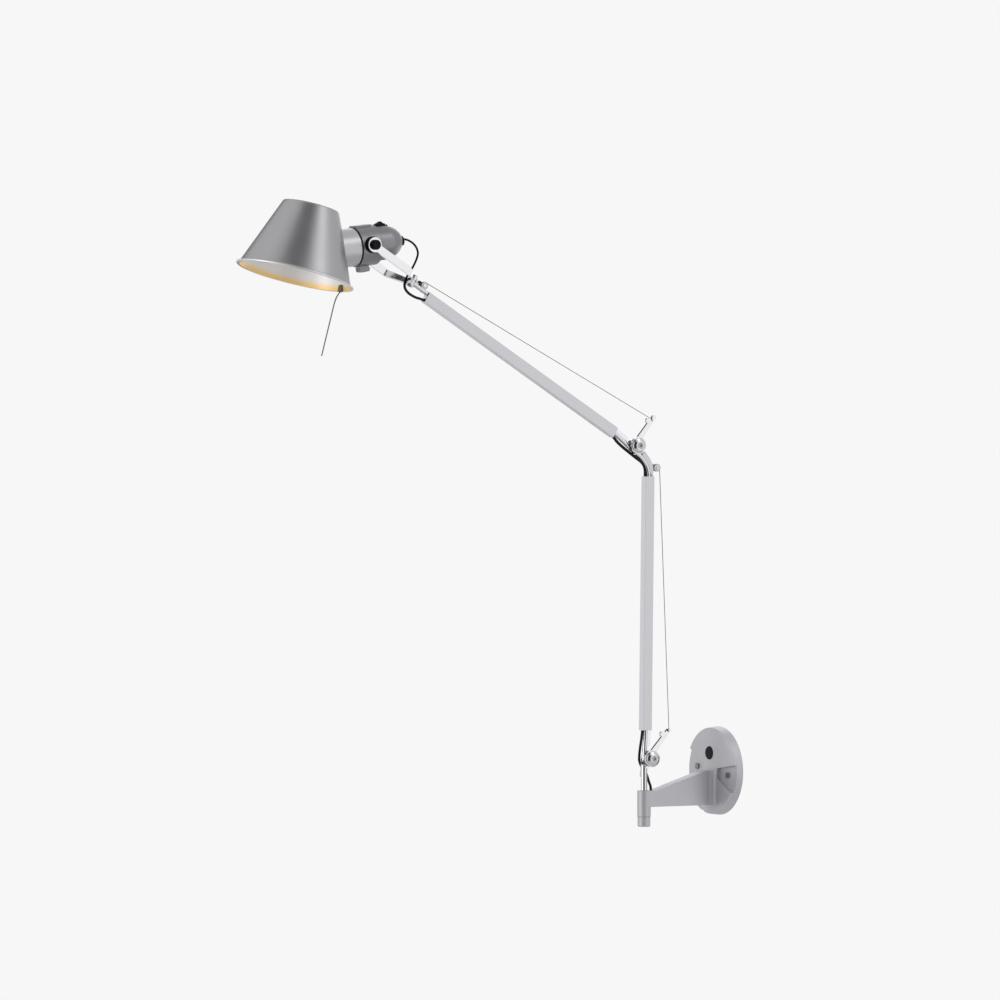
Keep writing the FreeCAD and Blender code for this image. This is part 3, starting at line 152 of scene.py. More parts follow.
# ---------------------------------------------------------------- places on the lamp


def joint_spot(name):
    return Vector(JOINTS[name]["pos_m"])


def leaning(spot, lean):
    """Frame of a group that leans about X at its pivot."""
    return Matrix.Translation(spot) @ Matrix.Rotation(math.radians(lean), 4, "X")


# How far each group leans at rest, in degrees.
LOWER_ARM = leaning(joint_spot("lower_arm_pivot"), -0.7)
UPPER_ARM = leaning(joint_spot("elbow_pivot"), 58.45)
HEAD = leaning(joint_spot("shade_spin"), 6.5)
WORLD = Matrix.Identity(4)

# The shade is a cone, in millimetres: radius at the mouth and the crown, height, and where its mouth hangs.
MOUTH_RADIUS = 81.0
CROWN_RADIUS = 39.8
SHADE_HEIGHT = 101.6
SHADE_SLOPE = (MOUTH_RADIUS - CROWN_RADIUS) / SHADE_HEIGHT
SHADE_SLANT = math.atan(SHADE_SLOPE)
SHADE_BACK = (-39.0, -60.0)        # Y and Z of the mouth's rear edge from the head's pivot
SHADE = HEAD @ leaning(Vector((0, SHADE_BACK[0] - MOUTH_RADIUS * math.cos(SHADE_SLANT),
                               SHADE_BACK[1] + MOUTH_RADIUS * math.sin(SHADE_SLANT))) * MM,
                       -math.degrees(SHADE_SLANT))


def spots(place, points):
    """World places of (x, y, z) points, in millimetres in a group's frame."""
    return [place @ (Vector(p) * MM) for p in points]


# ---------------------------------------------------------------- node helper and finishes


def add_node(tree, kind, settings=None, inputs=None):
    """Add a node. An input, by name or number, is a value or the output socket to link from."""
    made = tree.nodes.new(kind)
    for key, value in (settings or {}).items():
        setattr(made, key, value)
    for key, value in (inputs or {}).items():
        if isinstance(value, bpy.types.NodeSocket):
            tree.links.new(value, made.inputs[key])
        else:
            made.inputs[key].default_value = value
    return made


def rgba(colour):
    return (colour[0], colour[1], colour[2], 1.0)


def new_finish(name):
    """Empty material and its node tree."""
    finish = bpy.data.materials.new(name)
    finish.use_nodes = True
    finish.node_tree.nodes.clear()
    return finish, finish.node_tree


def patterned(name, colour, tint, rough, relief=None, edge=0.0, along=None, surface=None):
    """Material whose colour, roughness and relief follow noises, with all sizes in millimetres.

    Each of tint, rough and relief starts with its grain size and detail. Then tint has how much darker the
    colour gets, rough has its lowest and highest roughness, and relief has its height. Edges are eased by the
    radius edge. The grain is drawn out along the Z of the place along. What is even all over is in surface.
    """
    finish, tree = new_finish(name)
    spot = add_node(tree, "ShaderNodeTexCoord").outputs["Object"]
    if along:
        turned = add_node(tree, "ShaderNodeMapping",
                          inputs={"Vector": spot, "Rotation": (-along.to_euler().x, 0, 0)})
        drawn = add_node(tree, "ShaderNodeMapping",
                         inputs={"Vector": turned.outputs["Vector"], "Scale": (1.0, 1.0, 0.02)})
        spot = drawn.outputs["Vector"]
    grains = {}
    for grain in (tint, rough, relief):
        if grain and grain[:2] not in grains:
            noise = add_node(tree, "ShaderNodeTexNoise", inputs={
                "Vector": spot, "Scale": 1.0 / (grain[0] * MM), "Detail": grain[1], "Roughness": 0.6})
            grains[grain[:2]] = noise.outputs["Fac"]
    inputs = dict(surface or {})
    inputs["Base Color"] = rgba(colour)
    if tint:
        dark = rgba([c * (1 - tint[2]) for c in colour])
        mix = add_node(tree, "ShaderNodeMix", {"data_type": "RGBA"},
                       {"Factor": grains[tint[:2]], 6: dark, 7: rgba(colour)})
        inputs["Base Color"] = mix.outputs[2]
    spread = add_node(tree, "ShaderNodeMapRange",
                      inputs={"Value": grains[rough[:2]], 3: rough[2], 4: rough[3]})
    inputs["Roughness"] = spread.outputs["Result"]
    if relief:
        bump = {"Height": grains[relief[:2]], "Distance": relief[2] * MM, "Strength": 1.0}
        if edge:
            eased = add_node(tree, "ShaderNodeBevel", {"samples": 4}, {"Radius": edge * MM})
            bump["Normal"] = eased.outputs["Normal"]
        inputs["Normal"] = add_node(tree, "ShaderNodeBump", inputs=bump).outputs["Normal"]
    shader = add_node(tree, "ShaderNodeBsdfPrincipled", inputs=inputs)
    add_node(tree, "ShaderNodeOutputMaterial", inputs={"Surface": shader.outputs["BSDF"]})
    return finish


def silver_lacquer(name, colour, edge):
    """Metallic silver lacquer sprayed on aluminium: a soft sheen with a fine flake sparkle."""
    # Real flakes are far finer. They are drawn at 0.5 mm so that they show, and the sheen drifts over 38 mm.
    return patterned(name, colour, (0.5, 2.0, 0.10), (38.0, 2.0, 0.34, 0.42), (0.5, 2.0, 0.010), edge,
                     surface={"Metallic": 0.85})


def cast_lacquer(name, colour):
    """Silver lacquer on a die casting: even, and pebbled by the spray with an orange peel of about 1.1 mm."""
    return patterned(name, colour, (25.0, 2.0, 0.05), (1.1, 3.0, 0.42, 0.56), (1.1, 3.0, 0.035), 0.9,
                     surface={"Metallic": 0.6})


def anodised_tube(name, colour, place):
    """Drawn and anodised aluminium: pale satin with faint draw lines, about 0.6 mm apart, along the tube."""
    return patterned(name, colour, (0.6, 3.0, 0.06), (0.6, 3.0, 0.34, 0.46), (0.6, 3.0, 0.006), 0.25, place,
                     surface={"Metallic": 0.25})


def bright_chrome(name, colour):
    """Chrome plated steel, buffed: a mirror with faint wiping marks of some 6 mm."""
    return patterned(name, colour, None, (6.0, 4.0, 0.05, 0.14), (6.0, 4.0, 0.004), 0.35,
                     surface={"Metallic": 1.0})


def zinc_plate(name, colour):
    """Zinc plated steel: cool grey, half shiny, mottled in patches of 1.5 mm."""
    return patterned(name, colour, (1.5, 4.0, 0.15), (1.5, 4.0, 0.24, 0.40), (1.5, 4.0, 0.008), 0.2,
                     surface={"Metallic": 1.0})


def moulded_black(name, colour, low, high):
    """Injection moulded black plastic: deep black, with a spark eroded grain of 0.7 mm."""
    return patterned(name, colour, (0.7, 3.0, 0.25), (0.7, 3.0, low, high), (0.7, 3.0, 0.02), 0.4,
                     surface={"Specular IOR Level": 0.12})


def cable_sheath(name, colour):
    """Extruded PVC: smooth, slightly waxy black with slow ripples of 2.4 mm."""
    return patterned(name, colour, (2.4, 2.0, 0.2), (2.4, 2.0, 0.30, 0.42), (2.4, 2.0, 0.01),
                     surface={"Specular IOR Level": 0.2})


def white_acetal(name, colour):
    """Turned acetal: milky, with faint tool marks of 0.8 mm."""
    return patterned(name, colour, (0.8, 2.0, 0.05), (0.8, 2.0, 0.30, 0.44), (0.8, 2.0, 0.01), 0.3,
                     surface={"Subsurface Weight": 0.05, "Subsurface Radius": (0.002, 0.002, 0.002)})


def glazed(name, colour, rough):
    """Glaze or opal glass: glossy, with slight waves of 9 mm."""
    return patterned(name, colour, (9.0, 1.0, 0.04), (9.0, 1.0, rough, rough + 0.08), (9.0, 1.0, 0.02), 0.4,
                     surface={"Coat Weight": 0.4})


def drawn_wire(name, colour):
    """Drawn steel wire: dull grey, with faint marks of 0.5 mm where it ran through the die."""
    return patterned(name, colour, (0.5, 2.0, 0.2), (0.5, 2.0, 0.38, 0.5), surface={"Metallic": 1.0})


def coat_with_painted_warm_glow(name, painted_glow_colour, deep_colour):
    """Pale satin reflector coat inside the shade, with a painted warm reflection: golden at the rim, fading into
    the pale coat by 12 mm up.
    """
    finish = patterned(name, painted_glow_colour, None, (0.9, 3.0, 0.32, 0.46), (0.9, 3.0, 0.01),
                       surface={"Metallic": 0.2})
    tree = finish.node_tree
    into = SHADE.inverted()
    turned = add_node(tree, "ShaderNodeMapping", inputs={
        "Vector": add_node(tree, "ShaderNodeTexCoord").outputs["Object"],
        "Location": into.translation, "Rotation": into.to_euler()})
    height = add_node(tree, "ShaderNodeSeparateXYZ", inputs={"Vector": turned.outputs["Vector"]})
    # Painted warm reflection: golden at the rim, blending into the pale coat between 1 and 12 mm up.
    climb = add_node(tree, "ShaderNodeMapRange", {"interpolation_type": "SMOOTHSTEP"},
                     {"Value": height.outputs["Z"], 1: 1.0 * MM, 2: 12.0 * MM})
    mix = add_node(tree, "ShaderNodeMix", {"data_type": "RGBA"},
                   {"Factor": climb.outputs["Result"], 6: rgba(painted_glow_colour), 7: rgba(deep_colour)})
    tree.links.new(mix.outputs[2], tree.nodes["Principled BSDF"].inputs["Base Color"])
    return finish


def matt_paint(name, colour):
    """Flat matt paint of the floor and the cards: even, with no sheen."""
    finish, tree = new_finish(name)
    shader = add_node(tree, "ShaderNodeBsdfPrincipled", inputs={"Base Color": rgba(colour), "Roughness": 0.9})
    add_node(tree, "ShaderNodeOutputMaterial", inputs={"Surface": shader.outputs["BSDF"]})
    return finish


FINISHES = {}


def give_finish(node_names, finish):
    """Put a finish on every material slot of the CAD's nodes."""
    for name in node_names:
        node = NODES[name]
        if not node.material_slots:
            node.data.materials.append(finish)
        for place in node.material_slots:
            place.material = finish


# ---------------------------------------------------------------- modelling by hand


def start_clean():
    """Leave edit mode and select nothing."""
    if bpy.context.mode != "OBJECT":
        bpy.ops.object.mode_set(mode="OBJECT")
    bpy.ops.object.select_all(action="DESELECT")


def turned_piece(name, rings, place, closed=False):
    """Turn a piece: a circle extruded ring by ring, (radius, height) in mm, then stood at its place."""
    start_clean()
    steps = bpy.context.scene.lamp_sizes.turned_steps
    radius, height = rings[0]
    bpy.ops.mesh.primitive_circle_add(vertices=steps, radius=radius * MM, location=(0, 0, height * MM),
                                      fill_type="NOTHING" if closed else "NGON")
    piece = bpy.context.object
    piece.name = name
    piece.data.name = name
    bpy.ops.object.transform_apply(location=True, rotation=True, scale=True)
    bpy.ops.object.mode_set(mode="EDIT")
    bpy.ops.mesh.select_all(action="SELECT")
    for new_radius, new_height in rings[1:]:
        rise = {"value": (0, 0, (new_height - height) * MM)}
        if closed:
            bpy.ops.mesh.extrude_edges_move(TRANSFORM_OT_translate=rise)
        else:
            bpy.ops.mesh.extrude_region_move(TRANSFORM_OT_translate=rise)
        grow = new_radius / radius
        bpy.ops.transform.resize(value=(grow, grow, 1), center_override=(0, 0, new_height * MM))
        radius, height = new_radius, new_height
    bpy.ops.mesh.select_all(action="SELECT")
    bpy.ops.mesh.remove_doubles(threshold=0.000002)
    bpy.ops.mesh.normals_make_consistent(inside=False)
    bpy.ops.object.mode_set(mode="OBJECT")
    return settle(piece, place)


def facing(place, spot, turn, axis):
    """Frame in a group whose Z looks another way, at a spot in millimetres."""
    return place @ Matrix.Translation(Vector(spot) * MM) @ Matrix.Rotation(math.radians(turn), 4, axis)


def fluted(piece, flutes, depth_mm, low_mm, high_mm):
    """Sink every other facet of a turned piece's side into a finger groove. The piece is still upright."""
    start_clean()
    bpy.context.view_layer.objects.active = piece
    piece.select_set(True)
    for face in piece.data.polygons:
        angle = math.degrees(math.atan2(face.center.y, face.center.x)) % 360
        on_side = low_mm * MM < face.center.z < high_mm * MM and abs(face.normal.z) < 0.2
        face.select = on_side and int(angle / (360 / flutes / 2)) % 2 == 0
    bpy.ops.object.mode_set(mode="EDIT")
    bpy.ops.mesh.select_mode(type="FACE")
    bpy.ops.mesh.inset(thickness=0.12 * MM, depth=-depth_mm * MM)
    bpy.ops.object.mode_set(mode="OBJECT")


def settle(piece, place, angle=32.0):
    """Shade smooth up to an angle and put the place into the mesh."""
    start_clean()
    piece.select_set(True)
    bpy.context.view_layer.objects.active = piece
    piece.matrix_world = place
    bpy.ops.object.transform_apply(location=True, rotation=True, scale=True)
    bpy.ops.object.shade_smooth_by_angle(angle=math.radians(angle))
    return piece


def finished(piece, finish, slot, *nodes):
    """Give a piece its finish and hide the nodes it stands for. The slot is not used."""
    piece.data.materials.clear()
    piece.data.materials.append(finish)
    if nodes:
        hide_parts(*nodes)
    return piece


def flexible_tube(name, points, diameter, kind="NURBS"):
    """Round tube along a route: eased round its corner points, or straight from point to point."""
    start_clean()
    route = bpy.data.curves.new(name, "CURVE")
    route.dimensions = "3D"
    route.resolution_u = 16
    route.bevel_depth = diameter / 2
    route.bevel_resolution = 6
    route.use_fill_caps = True
    spline = route.splines.new(kind)
    spline.points.add(len(points) - 1)
    for control, spot in zip(spline.points, points):
        control.co = (spot.x, spot.y, spot.z, 1.0)
    if kind == "NURBS":
        spline.order_u = 3
        spline.use_endpoint_u = True
    piece = bpy.data.objects.new(name, route)
    bpy.context.scene.collection.objects.link(piece)
    piece.select_set(True)
    bpy.context.view_layer.objects.active = piece
    bpy.ops.object.convert(target="MESH")
    piece = bpy.context.object
    bpy.ops.object.mode_set(mode="EDIT")
    bpy.ops.mesh.select_all(action="SELECT")
    bpy.ops.mesh.remove_doubles(threshold=0.000002)
    bpy.ops.mesh.normals_make_consistent(inside=False)
    bpy.ops.object.mode_set(mode="OBJECT")
    return settle(piece, WORLD, 50.0)


# ---------------------------------------------------------------- operators


class LAMP_OT_finishes(bpy.types.Operator):
    """Give every carried-over piece of the lamp its real finish."""
    bl_idname = "lamp.finishes"
    bl_label = "Finishes"

    def execute(self, context):
        c = context.scene.lamp_finishes
        FINISHES["shade_lacquer"] = silver_lacquer("silver_lacquer_on_spun_aluminium", c.shade_lacquer, 0.0)
        FINISHES["head_lacquer"] = silver_lacquer("silver_lacquer_on_cast_head", c.head_lacquer, 1.0)
        # The neck's lighter lacquer is partly a painted highlight.
        FINISHES["neck"] = silver_lacquer("silver_lacquer_part_painted_highlight_on_shade_neck", c.neck_lacquer_part_painted_highlight, 0.3)
        # The rim's lighter lacquer is a painted highlight.
        FINISHES["rim"] = silver_lacquer("silver_lacquer_painted_highlight_on_rolled_rim", c.rim_lacquer_painted_highlight, 0.0)
        FINISHES["casting"] = cast_lacquer("silver_lacquer_on_casting", c.casting_lacquer)
        FINISHES["lower_tube"] = anodised_tube("anodised_aluminium_lower_tube", c.tube_anodise, LOWER_ARM)
        FINISHES["upper_tube"] = anodised_tube("anodised_aluminium_upper_tube", c.tube_anodise, UPPER_ARM)
        FINISHES["chrome"] = bright_chrome("chrome_plated_steel", c.chrome)
        FINISHES["zinc"] = zinc_plate("zinc_plated_steel", c.zinc)
        FINISHES["black"] = moulded_black("moulded_black_plastic", c.black_plastic, 0.38, 0.55)
        FINISHES["gloss_black"] = moulded_black("polished_black_plastic", c.black_plastic, 0.18, 0.28)
        FINISHES["sheath"] = cable_sheath("black_pvc_sheath", c.cable_black)
        FINISHES["acetal"] = white_acetal("white_acetal", c.acetal)
        FINISHES["porcelain"] = glazed("glazed_porcelain", c.porcelain, 0.12)
        FINISHES["opal"] = glazed("opal_glass", c.bulb_glass, 0.08)
        # Pale coat inside the shade, with a painted warm reflection at its rim.
        FINISHES["warm"] = coat_with_painted_warm_glow("satin_coat_with_painted_warm_glow", c.shade_inside_painted_glow, c.shade_deep)
        FINISHES["tie_wire"] = drawn_wire("bare_steel_wire", c.tie_steel)
        FINISHES["rod_wire"] = drawn_wire("burnished_steel_wire", c.rod_steel)
        slots = {
            "grey_casting": "casting", "tube_satin": "lower_tube", "chrome_rod": "chrome",
            "zinc_steel": "zinc", "black_plastic": "black", "black_gloss": "gloss_black",
            "black_cable": "sheath", "acetal_white": "acetal", "tie_steel": "tie_wire",
            "shade_silver": "head_lacquer", "bulb_glass": "opal", "holder_ceramic": "porcelain",
            "brass_terminal": "acetal",
        }
        for part in frame["record"]["subparts"]:
            give_finish([part["node"]], FINISHES[slots[part["material_slot"]]])
        give_finish(["upper_tube"], FINISHES["upper_tube"])
        give_finish(["aiming_rod"], FINISHES["rod_wire"])
        # The neck takes its lighter lacquer, partly a painted highlight.
        give_finish(["shade_neck"], FINISHES["neck"])
        return {"FINISHED"}


class LAMP_OT_shade(bpy.types.Operator):
    """Spin the shade with its rolled rim, and a warm reflection painted inside it at the rim."""
    bl_idname = "lamp.shade"
    bl_label = "Shade"

    def execute(self, context):
        wall = context.scene.lamp_sizes.shade_wall / MM
        levels = (4.6, 30.0, 65.0, 92.0)
        under_top = SHADE_HEIGHT - wall
        outer = [(MOUTH_RADIUS - SHADE_SLOPE * h, h) for h in levels]
        shoulder = [(CROWN_RADIUS + SHADE_SLOPE * 4.0, SHADE_HEIGHT - 4.0), (40.6, 99.3), (39.7, 100.6),
                    (37.6, 101.4), (34.0, SHADE_HEIGHT)]
        top = [(20.0, SHADE_HEIGHT), (2.0, SHADE_HEIGHT)]
        inside_top = [(2.0, under_top), (20.0, under_top), (34.0, under_top), (38.2, 100.0), (39.6, 98.4)]
        inner = [(MOUTH_RADIUS - SHADE_SLOPE * h - wall, h) for h in reversed(levels)]
        lip = [(80.2 - wall, 2.0), (80.8 - wall, 0.4), (82.6, -0.35), (83.9, 0.2), (84.35, 1.1), (83.9, 2.0),
               (82.6, 2.3), (81.0, 2.3), (80.0, 2.9), (79.5, 3.8)]
        rings = outer + shoulder + top + inside_top + inner + lip + outer[:1]
        piece = turned_piece("spun_shade", rings, SHADE, closed=True)
        finished(piece, FINISHES["shade_lacquer"], "shade_silver", "shade")
        piece.data.materials.append(FINISHES["warm"])
        piece.data.materials.append(FINISHES["rim"])
        into = SHADE.inverted()
        for face in piece.data.polygons:
            spot = into @ face.center
            reach = math.hypot(spot.x, spot.y)
            reach_of_wall = (MOUTH_RADIUS - SHADE_SLOPE * spot.z / MM) * MM
            # Faces inside the shade take the pale coat with its painted warm reflection at the rim.
            if reach < reach_of_wall - 0.5 * wall * MM and spot.z / MM < SHADE_HEIGHT - 0.5 * wall:
                face.material_index = 1      # the warm inside
            # The rolled rim takes the lighter lacquer, a painted highlight along the lip.
            elif spot.z / MM < 3.2:
                face.material_index = 2      # the rolled rim
        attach(piece, "shade")
        return {"FINISHED"}


class LAMP_OT_knobs(bpy.types.Operator):
    """Turn the two clamping knobs and groove their rims."""
    bl_idname = "lamp.knobs"
    bl_label = "Knobs"

    def execute(self, context):
        for node, side in (("near_knob", 1), ("far_knob", -1)):
            low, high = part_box(node)
            radius = (high[1] - low[1]) / 2 / MM
            tall = (high[0] - low[0]) / MM
            base = low[0] if side > 0 else high[0]
            centre = Vector((base, (low[1] + high[1]) / 2, (low[2] + high[2]) / 2))
            place = Matrix.Translation(centre) @ Matrix.Rotation(math.radians(90 * side), 4, "Y")
            rings = [(radius - 0.5, 0.0), (radius - 0.1, 0.4), (radius, 0.9), (radius, tall - 1.5),
                     (radius - 0.3, tall - 0.9), (radius - 1.0, tall - 0.35), (radius - 1.9, tall - 0.1),
                     (radius - 2.6, tall - 0.1), (radius - 3.0, tall - 0.5), (radius - 3.4, tall - 0.6),
                     (0.3, tall - 0.6)]
            piece = turned_piece(node + "_moulded", rings, WORLD)
            fluted(piece, 32, 0.3, 1.0, tall - 1.6)
            settle(piece, place)
            finished(piece, FINISHES["black"], "black_plastic", node)
            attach(piece, node)
        return {"FINISHED"}


class LAMP_OT_bulb(bpy.types.Operator):
    """Blow the opal bulb in the lampholder."""
    bl_idname = "lamp.bulb"
    bl_label = "Bulb"

    def execute(self, context):
        rings = [(12.4, 58.1), (12.6, 59.5), (13.4, 62.5), (15.0, 67.5), (17.4, 73.5), (20.0, 80.0),
                 (21.8, 86.5), (22.5, 93.0), (22.3, 97.5), (21.2, 102.0), (19.0, 106.2), (15.6, 110.2),
                 (11.0, 113.5), (5.6, 115.8), (0.4, 116.4)]
        piece = turned_piece("opal_bulb", rings, facing(HEAD, (0, 0, 0), 90, "X"))
        finished(piece, FINISHES["opal"], "bulb_glass", "light_bulb")
        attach(piece, "lamp_head")
        return {"FINISHED"}


class LAMP_OT_ties(bpy.types.Operator):
    """Draw the steel ties from the lever pins up to the pulleys."""
    bl_idname = "lamp.ties"
    bl_label = "Ties"

    groove = 5.15          # from the pulley's axis to the middle of the tie, mm
    eye = 1.9              # from the lever pin's axis to the middle of the tie, mm
    bend_starts = 3.0      # the tie bends between these two places along the arm, mm from the pin
    bend_ends = 70.0

    def execute(self, context):
        thick = context.scene.lamp_sizes.tie_diameter
        for node, place, pivot, lean, reach, wheel, axis_y, mouth, fixed, moving in (
                ("lower_tie", LOWER_ARM, "lower_arm_pivot", 41.0, 52.6, "lower_pulley_turn", -6.6, 402.5,
                 "stem", "lower_arm"),
                ("upper_tie", UPPER_ARM, "elbow_pivot", 39.5, 47.5, "upper_pulley_turn", -3.1, 409.0,
                 "lower_arm", "upper_arm")):
            into = place.inverted()
            swing = math.radians(lean)
            pin = into @ (joint_spot(pivot) + Vector((0, math.sin(swing), math.cos(swing))) * reach * MM)
            centre = into @ joint_spot(wheel)
            hook = Vector((0, axis_y + 3.4, mouth - 45.0)) * MM
            rise = self.tangent(centre, pin, 1)
            fall = self.tangent(centre, hook, -1) + 360
            heading = math.degrees(math.atan2(centre.z - pin.z, centre.y - pin.y))
            route = [self.on_circle(pin, self.eye, heading + 15 + step) for step in range(330, -1, -30)]
            route += [self.on_circle(centre, self.groove, rise + (fall - rise) * step / 14)
                      for step in range(15)]
            route.append(hook)
            route = [place @ Vector((0, spot.y, spot.z)) for spot in route]
            piece = flexible_tube(node + "_wire", route, thick, "POLY")
            finished(piece, FINISHES["tie_wire"], "tie_steel", node)
            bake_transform(piece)
        return {"FINISHED"}

    def on_circle(self, centre, radius_mm, degrees):
        """Place on a circle in the plane of the arm."""
        turn = math.radians(degrees)
        return centre + Vector((0, math.cos(turn), math.sin(turn))) * radius_mm * MM

    def tangent(self, centre, spot, side):
        """Angle on the pulley's groove at which a line to the spot leaves it."""
        gap = math.hypot(spot.y - centre.y, spot.z - centre.z)
        toward = math.degrees(math.atan2(spot.z - centre.z, spot.y - centre.y))
        return toward + side * math.degrees(math.acos(self.groove * MM / gap))


class LAMP_OT_pulleys(bpy.types.Operator):
    """Turn the two grooved pulleys, with plated flanges and a white middle."""
    bl_idname = "lamp.pulleys"
    bl_label = "Pulleys"

    def execute(self, context):
        for node in ("lower_pulley", "upper_pulley"):
            low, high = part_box(node)
            half = (high[0] - low[0]) / 2 / MM
            place = Matrix.Translation(((low[0] + high[0]) / 2, (low[1] + high[1]) / 2,
                                        (low[2] + high[2]) / 2)) @ Matrix.Rotation(math.radians(90), 4, "Y")
            rings = [(1.6, -half), (2.6, -half), (3.0, 0.3 - half), (4.3, 0.3 - half), (4.7, -half),
                     (5.3, -half), (5.5, 0.2 - half), (5.5, 0.6 - half), (4.6, -0.5), (4.6, 0.5),
                     (5.5, half - 0.6), (5.5, half - 0.2), (5.3, half), (4.7, half), (4.3, half - 0.3),
                     (3.0, half - 0.3), (2.6, half), (1.6, half), (1.6, -half)]
            piece = turned_piece(node + "_turned", rings, place, closed=True)
            finished(piece, FINISHES["acetal"], "acetal_white", node)
            piece.data.materials.append(FINISHES["zinc"])
            into = place.inverted()
            for face in piece.data.polygons:
                at = into @ face.center
                if math.hypot(at.x, at.y) > 4.5 * MM:
                    face.material_index = 1
            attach(piece, node)
        return {"FINISHED"}


class LAMP_OT_cables(bpy.types.Operator):
    """Lay the cables that cross the joints."""
    bl_idname = "lamp.cables"
    bl_label = "Cables"

    def execute(self, context):
        sizes = context.scene.lamp_sizes
        thick = sizes.cable_diameter
        tube_y = -11.6           # the cable's line in the lower tube
        bend = 18.2 * MM         # straight lead before and after the elbow's bend
        upper = spots(LOWER_ARM, [(0, tube_y, 46.0), (0, tube_y, 37.0)]) + spots(
            WORLD, [(-3.0, -133.8, 27.5), (-11.1, -128.6, 12.3), (-10.6, -121.4, 4.0)])
        lower = spots(WORLD, [(-10.6, -121.35, 3.9), (-10.3, -116.6, -1.6), (-5.8, -116.0, -13),
                              (0, -115.6, -20.5), (0, -115.6, -33)])
        piece = flexible_tube("cable_at_lower_pivot", upper, thick)
        finished(piece, FINISHES["sheath"], "black_cable", "base_cable_upper")
        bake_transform(piece)
        piece = flexible_tube("cable_at_post", lower, thick)
        finished(piece, FINISHES["sheath"], "black_cable", "base_cable_lower")
        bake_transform(piece)

        mouth = LOWER_ARM @ (Vector((0, tube_y, 402.5)) * MM)
        into = UPPER_ARM.inverted()
        at, ahead = into @ mouth, into.to_3x3() @ (LOWER_ARM.to_3x3() @ Vector((0, 0, 1)))
        corner = UPPER_ARM @ (at + ahead * ((-14.4 * MM - at.y) / ahead.y))
        along = UPPER_ARM.to_3x3() @ Vector((0, 0, bend))
        climb = LOWER_ARM.to_3x3() @ Vector((0, 0, bend))
        elbow = spots(LOWER_ARM, [(0, tube_y, 399.5)])
        elbow += [corner - climb, corner - climb * 0.3, corner + along * 0.3, corner + along]
        elbow += spots(UPPER_ARM, [(0, -12.6, 26.0), (0, -8.4, 38.0), (0, -8.1, 43.5)])
        piece = flexible_tube("cable_at_elbow", elbow, sizes.elbow_cable_diameter)
        finished(piece, FINISHES["sheath"], "black_cable", "elbow_cable")
        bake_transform(piece)

        fork = spots(UPPER_ARM, [(0, 7.0, 449.6), (0, -5.0, 450.0), (0, -13.5, 441.0), (0, -13.0, 424.0),
                                 (0, -8.6, 412.0), (0, -8.1, 404.0)])
        piece = flexible_tube("cable_at_fork_hub", fork, thick)
        finished(piece, FINISHES["sheath"], "black_cable", "fork_cable")
        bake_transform(piece)

        head = spots(HEAD, [(0, 59.0, 3.0), (0, 72.0, 3.0)])
        head += spots(UPPER_ARM, [(0, 50.6, 459.0), (0, 37.6, 447.0), (0, 7.3, 449.6)])
        piece = flexible_tube("cable_at_head", head, sizes.head_cable_diameter)
        finished(piece, FINISHES["sheath"], "black_cable", "head_cable")
        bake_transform(piece)
        return {"FINISHED"}


